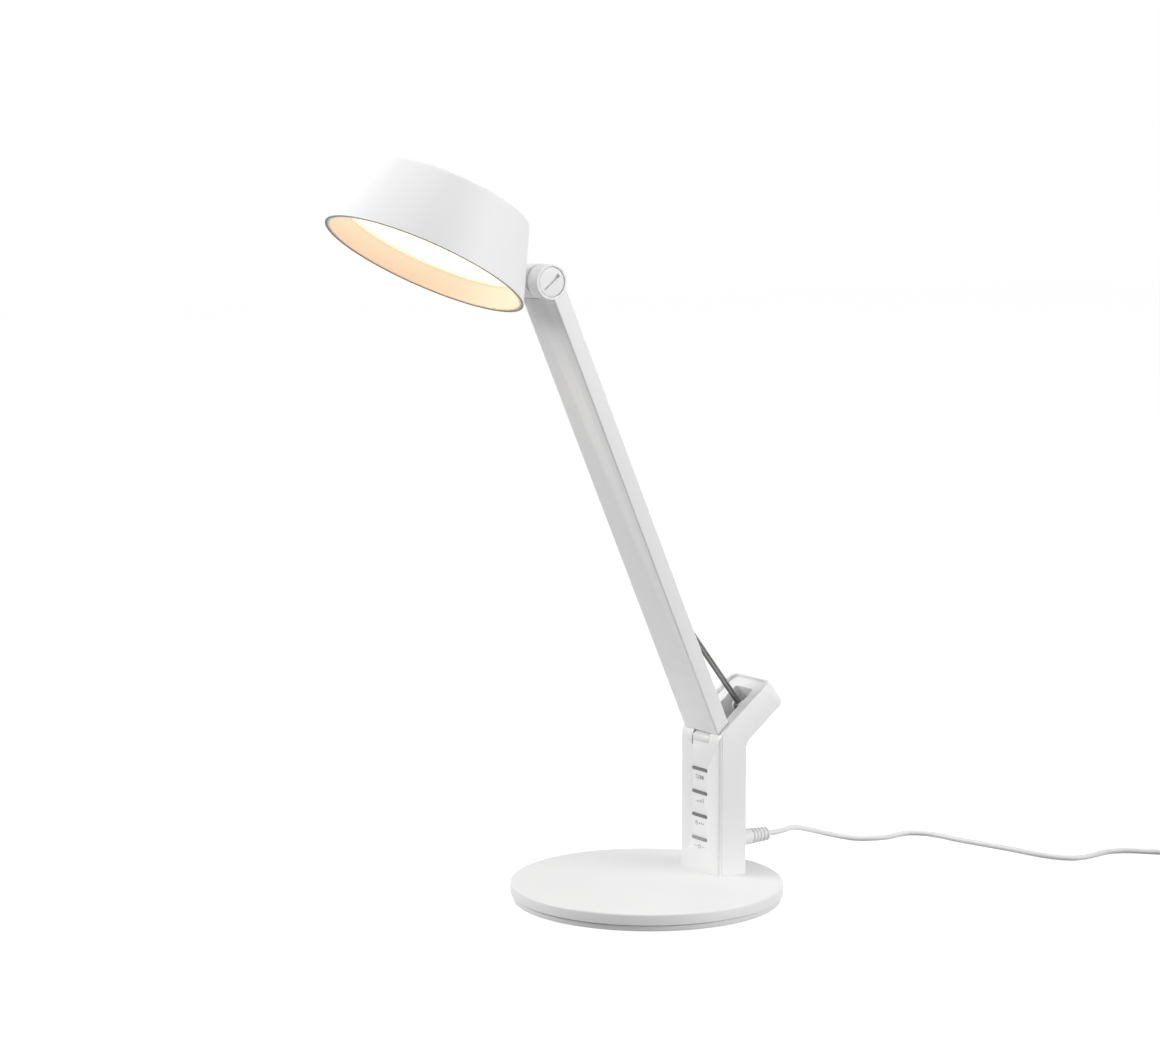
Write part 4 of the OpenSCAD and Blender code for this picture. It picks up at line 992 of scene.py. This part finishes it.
class LAMP_OT_head_pivot(bpy.types.Operator):
    """Makes the slotted cap, the nut cap and the neck between arm and shade"""

    bl_idname = "task_lamp.head_pivot"
    bl_label = "Head pivot"

    cap_thick = 2.4 * MM
    fuller = 0.3 * MM
    shank_radius = 3 * MM
    slot_size = (12.4 * MM, 2.1 * MM)
    slot_depth = 1.7 * MM
    slot_turn = math.radians(39)
    nut_ease = 0.35 * MM
    neck_ease = 0.4 * MM
    cap_steps = 96

    def slotted_cap(self):
        """The cap and its shank are one turned bolt, with a slot milled across the cap."""
        low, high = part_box("pivot_bolt")
        radius = (high.z - low.z) / 2 + self.fuller
        outline = eased_outline([
            (0, low.x, 0), (self.shank_radius, low.x, 0.3 * MM), (self.shank_radius, high.x - self.cap_thick, 0),
            (radius, high.x - self.cap_thick, 0.2 * MM), (radius, high.x, sizes().cap_edge), (0, high.x, 0),
        ])
        place = Matrix.Translation((0, HEAD_PIVOT.y, HEAD_PIVOT.z))
        across = place @ Matrix.Rotation(math.pi / 2, 4, "Y")
        cap = turned("slotted_cap", outline, self.cap_steps, across)
        size = (2 * self.slot_depth, *self.slot_size)
        cut_slot(cap, (high.x, 0, 0), size, place @ Matrix.Rotation(self.slot_turn, 4, "X"))
        return cap

    def execute(self, context):
        white = finish_of(housing_abs)
        finish_piece(self.slotted_cap(), "arm", "white_shell", white, "pivot_bolt")
        refine("pivot_nut", "nut_cap", "white_shell", white, self.nut_ease, 3)
        refine("head_knuckle", "shade_neck", "white_shell", white, self.neck_ease, 3)
        dress(finish_of(zinc_steel), "pivot_washers", "neck_plate", "neck_screws")
        dress(finish_of(spring_wire), "neck_screw")
        return {"FINISHED"}


# ---------------- shade

class LAMP_OT_shade(bpy.types.Operator):
    """Makes the conical shade with its screw posts"""

    bl_idname = "task_lamp.shade"
    bl_label = "Shade"

    roof = 2 * MM
    post_radius = 3.2 * MM
    post_low = 21.3 * MM
    post_ring = 31 * MM
    post_angles = (90, 210, 330)

    def shell(self):
        wall, edge, lip = sizes().shade_wall, sizes().shade_edge, sizes().painted_shadow_lip
        ceiling = SHADE_HEIGHT - self.roof
        outline = eased_outline([
            (0, ceiling, 0), (shade_radius(ceiling) - wall, ceiling, edge - wall),
            (shade_radius(lip) - wall, lip, 0), (shade_radius(lip), lip, 0.1 * MM),
            (shade_radius(SHADE_HEIGHT), SHADE_HEIGHT, edge), (0, SHADE_HEIGHT, 0),
        ], steps=10)
        body = turned("shade_body", outline, SHADE_STEPS, shade_frame())
        body = joined("shade_body", body, *posts(
            self.post_radius, self.post_low, ceiling + 0.5 * MM, self.post_ring, self.post_angles, shade_frame()))
        finish_piece(body, "head", "white_shell", finish_of(shade_paint), "shade_shell")

    def painted_shadow_lip(self):
        """A dark ring at the lip's narrow face, painted to stand for the shadow in the gap at the opening's edge.
        """
        high = sizes().painted_shadow_lip + 0.05 * MM
        outer = shade_radius(0) - 0.1 * MM
        inner = outer - 0.75 * sizes().shade_wall
        outline = eased_outline([
            (outer, high, 0), (outer, 0, 0.1 * MM), (inner, 0, 0.1 * MM), (inner, high, 0), (outer, high, 0)])
        # Painted shadow: a dark ring where the opening's edge is only in shade.
        ring = turned("shade_lip", outline, SHADE_STEPS, shade_frame())
        finish_piece(ring, "head", "sheet_aluminium", finish_of(painted_shadow_lip_metal))

    def execute(self, context):
        self.shell()
        self.painted_shadow_lip()
        return {"FINISHED"}


# ---------------- light

class LAMP_OT_light(bpy.types.Operator):
    """Makes the reflector and the lit disc, and finishes the lamp board above them"""

    bl_idname = "task_lamp.light"
    bl_label = "Light"

    disc_depth = 12.65 * MM
    disc_height = 1.8 * MM
    disc_radius = 50.7 * MM
    gap = 0.2 * MM
    low, high = 0.35 * MM, 19.5 * MM
    shelf = 0.5 * MM
    shelf_thick = 1 * MM
    seat = 0.05 * MM

    def wall(self, up):
        """The reflector's outer radius at a height above the opening."""
        return shade_radius(up) - sizes().shade_wall - self.gap

    def reflector(self):
        thick, low, high = sizes().reflector_wall, self.low, self.high
        shelf_high = self.disc_depth - self.seat
        shelf_low = shelf_high - self.shelf_thick
        shelf_in = self.wall(shelf_high) - thick - self.shelf
        outline = eased_outline([
            (self.wall(high), high, 0), (self.wall(low), low, 0.3 * MM), (self.wall(low) - thick, low, 0.3 * MM),
            (self.wall(shelf_low) - thick, shelf_low, 0.3 * MM), (shelf_in, shelf_low, 0.25 * MM),
            (shelf_in, shelf_high, 0.15 * MM), (self.wall(shelf_high) - thick, shelf_high, 0),
            (self.wall(high) - thick, high, 0), (self.wall(high), high, 0),
        ])
        ring = turned("reflector_ring", outline, SHADE_STEPS, shade_frame())
        finish_piece(ring, "head", "warm_white", reflector_pc(low, self.disc_depth), "reflector")

    def disc(self):
        low, high = self.disc_depth, self.disc_depth + self.disc_height
        outline = eased_outline([
            (0, low, 0), (self.disc_radius, low, 0.4 * MM), (self.disc_radius, high, 0.2 * MM), (0, high, 0)])
        piece = turned("lit_disc", outline, SHADE_STEPS, shade_frame())
        finish_piece(piece, "head", "lit_diffuser", opal_disc_material(low, self.disc_radius), "diffuser")

    def execute(self, context):
        self.reflector()
        self.disc()
        dress(finish_of(white_board), "led_board")
        dress(finish_of(phosphor), "leds")
        dress(finish_of(mill_aluminium), "heat_sink")
        dress(finish_of(zinc_steel), "shade_screws")
        return {"FINISHED"}


# ---------------- power lead

class LAMP_OT_lead(bpy.types.Operator):
    """Makes the plug, the lead along its whole way with its coil, and the strap round the coil"""

    bl_idname = "task_lamp.lead"
    bl_label = "Power lead"

    jack_z = 26.8 * MM
    plug_radius = 4.75 * MM
    plug_tip = 4.0 * MM
    ribs = 5
    rib_pitch = 2.6 * MM
    rib_width = 1.5 * MM
    rib_depth = 0.8 * MM
    plug_steps = 64
    strap_ease = 0.2 * MM
    # The lead's way from the plug, down to the table and along it, as the lead lies
    route = (
        (0, 0.08835, 0.0268), (0, 0.09535, 0.0268), (-0.003, 0.104, 0.0264), (-0.010, 0.113, 0.025),
        (-0.018, 0.124, 0.0225), (-0.026, 0.136, 0.019), (-0.034, 0.148, 0.015), (-0.041, 0.160, 0.011),
        (-0.046, 0.172, 0.007), (-0.047, 0.182, 0.004), (-0.043, 0.192, 0.002), (-0.038, 0.201, 0.00175),
        (-0.035, 0.211, 0.00175), (-0.036, 0.221, 0.00175), (-0.036, 0.230, 0.00175), (-0.030, 0.238, 0.00175),
        (-0.020, 0.242, 0.00175), (-0.008, 0.244, 0.00175), (0.005, 0.247, 0.00175), (0.019, 0.251, 0.00175),
        (0.034, 0.255, 0.00175), (0.049, 0.258, 0.00175), (0.062, 0.262, 0.00175), (0.072, 0.269, 0.00175),
        (0.075, 0.279, 0.00175), (0.074, 0.290, 0.00175), (0.073, 0.301, 0.00175), (0.077, 0.312, 0.00175),
        (0.086, 0.321, 0.00175), (0.095, 0.330, 0.00175), (0.105, 0.340, 0.00205), (0.112, 0.347, 0.00225),
        (0.115, 0.350, 0.00225),
    )
    heading = math.radians(45)
    turns = 9.875
    layers = 4
    mean_radius = 17.8 * MM
    seat = 0.05 * MM
    pitch = 3.8 * MM
    climb_angle = 180
    tail = 24 * MM
    held = 34 * MM
    real_length = 1.544

    def smooth(self, points, count):
        """Points on the smooth curve through all the given ones."""
        points = [Vector(p) for p in points]
        found = []
        for i in range(len(points) - 1):
            a, b, c, d = (points[min(max(i + k, 0), len(points) - 1)] for k in (-1, 0, 1, 2))
            for k in range(count):
                t = k / count
                found.append(0.5 * (2 * b + (c - a) * t + (2 * a - 5 * b + 4 * c - d) * t * t
                                    + (3 * b - a - 3 * c + d) * t ** 3))
        return found + [points[-1]]

    def direction(self, angle):
        return Vector((math.cos(angle), math.sin(angle), 0))

    def coil(self, start):
        """The coil spirals in and out again, and climbs a layer where the spiral turns round."""
        thick = sizes().lead_bore
        span = self.pitch * self.turns / self.layers
        outer, inner = self.mean_radius + span / 2, self.mean_radius - span / 2
        along = self.direction(self.heading)
        middle = start + thick * along + outer * self.direction(self.heading + math.pi / 2)
        sweep = 360 * self.turns
        layer = sweep / self.layers
        count = round(sizes().coil_points * self.turns)
        found = []
        for i in range(count + 1):
            turn = sweep * i / count
            phase = turn / layer
            part = phase % 1
            reach = outer - span * part if int(phase) % 2 == 0 else inner + span * part
            climb = sum(
                min(1, max(0, (turn - k * layer) / self.climb_angle + 0.5)) for k in range(1, self.layers))
            angle = self.heading - math.pi / 2 + math.radians(turn)
            found.append(middle + reach * self.direction(angle) + Vector((0, 0, self.pitch * climb)))
        leaving = self.direction(self.heading + math.radians(sweep))
        return found + [found[-1] + thick * leaving], leaving

    def path(self):
        thick = sizes().lead_bore
        run = self.smooth(self.route, 5)
        turns, leaving = self.coil(run[-1] + self.seat * self.direction(self.heading))
        start = turns[-1] + self.seat * leaving
        tip = Vector((start.x + self.tail, start.y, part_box("adapter_case")[1].z / 2))
        end = self.smooth([
            start, start + thick * leaving, start + self.tail / 2 * leaving + Vector((0, 0, -0.3 * MM)),
            tip - Vector((thick, 0, 0)), tip], 6)
        return run + turns + end + [tip + Vector((self.held, 0, 0))]

    def cord(self):
        points = self.path()
        data = bpy.data.curves.new("power_lead", "CURVE")
        data.dimensions = "3D"
        data.bevel_depth = sizes().lead_bore / 2
        data.bevel_resolution = 4
        data.use_fill_caps = True
        spline = data.splines.new("POLY")
        spline.points.add(len(points) - 1)
        for place, point in zip(spline.points, points):
            place.co = (*point, 1)
        spline.use_smooth = True
        lead = bpy.data.objects.new("power_lead", data)
        bpy.context.scene.collection.objects.link(lead)
        data.materials.append(finish_of(lead_pvc))
        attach(lead, "base")
        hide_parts("cord_run", "cord_coil", "cord_tail")
        return lead

    def plug(self):
        low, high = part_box("dc_plug")
        reach = high.y - low.y
        first = reach - self.ribs * self.rib_pitch

        def taper(s):
            return self.plug_radius - (self.plug_radius - self.plug_tip) * max(0, s - first) / (reach - first)

        corners = [(0, 0, 0), (self.plug_radius, 0, 0.5 * MM)]
        for i in range(self.ribs):
            s = first + i * self.rib_pitch
            gap = self.rib_pitch - self.rib_width
            root = taper(s) - self.rib_depth
            corners += [(taper(s), s, 0.15 * MM), (root, s + 0.2 * MM, 0.15 * MM),
                        (root, s + gap - 0.2 * MM, 0.15 * MM), (taper(s + gap), s + gap, 0.15 * MM)]
        corners += [(self.plug_tip, reach, 0.4 * MM), (0, reach, 0)]
        place = Matrix.Translation((0, low.y, self.jack_z)) @ Matrix.Rotation(-math.pi / 2, 4, "X")
        body = turned("plug_body", eased_outline(corners, 3), self.plug_steps, place)
        return finish_piece(body, "base", "lead", finish_of(plug_pvc), "dc_plug")

    def execute(self, context):
        lead, plug = self.cord(), self.plug()
        strap = refine("coil_tie", "coil_strap", "dark_plastic", finish_of(tie_strap_material), self.strap_ease)
        dress(finish_of(nickel_brass), "plug_barrel")
        on_it = [plug, strap, frame["nodes"]["plug_barrel"]]
        on_it += [bpy.data.objects[name] for name in LAMP_OT_adapter.pieces]
        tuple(self.route[0])
        return {"FINISHED"}


# ---------------- adapter

class LAMP_OT_adapter(bpy.types.Operator):
    """Makes the wall adapter at the lead's far end"""

    bl_idname = "task_lamp.adapter"
    bl_label = "Wall adapter"

    pieces = ("adapter_housing", "adapter_front", "adapter_prongs", "adapter_boot")

    def execute(self, context):
        white = finish_of(housing_abs)
        for node, name, slot, material, width, segments in (
                ("adapter_case", "adapter_housing", "lead", white, 0.8 * MM, 4),
                ("adapter_face", "adapter_front", "lead", white, 0.5 * MM, 3),
                ("adapter_pins", "adapter_prongs", "steel", finish_of(nickel_brass), 0.3 * MM, 2),
                ("adapter_relief", "adapter_boot", "lead", finish_of(plug_pvc), 0.1 * MM, 2)):
            refine(node, name, slot, material, width, segments)
        return {"FINISHED"}


# ---------------- panel and registration

STEPS = (
    LAMP_OT_stage, LAMP_OT_adapter, LAMP_OT_lead, LAMP_OT_base, LAMP_OT_upright, LAMP_OT_keys, LAMP_OT_linkage,
    LAMP_OT_arm, LAMP_OT_head_pivot, LAMP_OT_shade, LAMP_OT_light,
)
GROUPS = {"lamp_sizes": LampSizes, "lamp_colours": LampColours, "stage_levels": StageLevels}


class LAMP_PT_panel(bpy.types.Panel):
    """Lists the lamp's pieces, sizes and colours"""

    bl_label = "Task lamp"
    bl_idname = "LAMP_PT_panel"
    bl_space_type = "VIEW_3D"
    bl_region_type = "UI"
    bl_category = "Task lamp"

    def draw(self, context):
        layout = self.layout
        for step in STEPS:
            layout.operator(step.bl_idname)
        for group in (getattr(context.scene, name) for name in GROUPS):
            box = layout.box()
            for name in group.__annotations__:
                box.prop(group, name)


CLASSES = (*GROUPS.values(), *STEPS, LAMP_PT_panel)


def register():
    for item in CLASSES:
        bpy.utils.register_class(item)
    for name, group in GROUPS.items():
        setattr(bpy.types.Scene, name, PointerProperty(type=group))


def unregister():
    for name in GROUPS:
        delattr(bpy.types.Scene, name)
    for item in reversed(CLASSES):
        bpy.utils.unregister_class(item)


def main():
    register()
    bpy.ops.object.select_all(action="DESELECT")
    for step in STEPS:
        group, name = step.bl_idname.split(".")
        getattr(getattr(bpy.ops, group), name)()


if __name__ == "__main__":
    main()
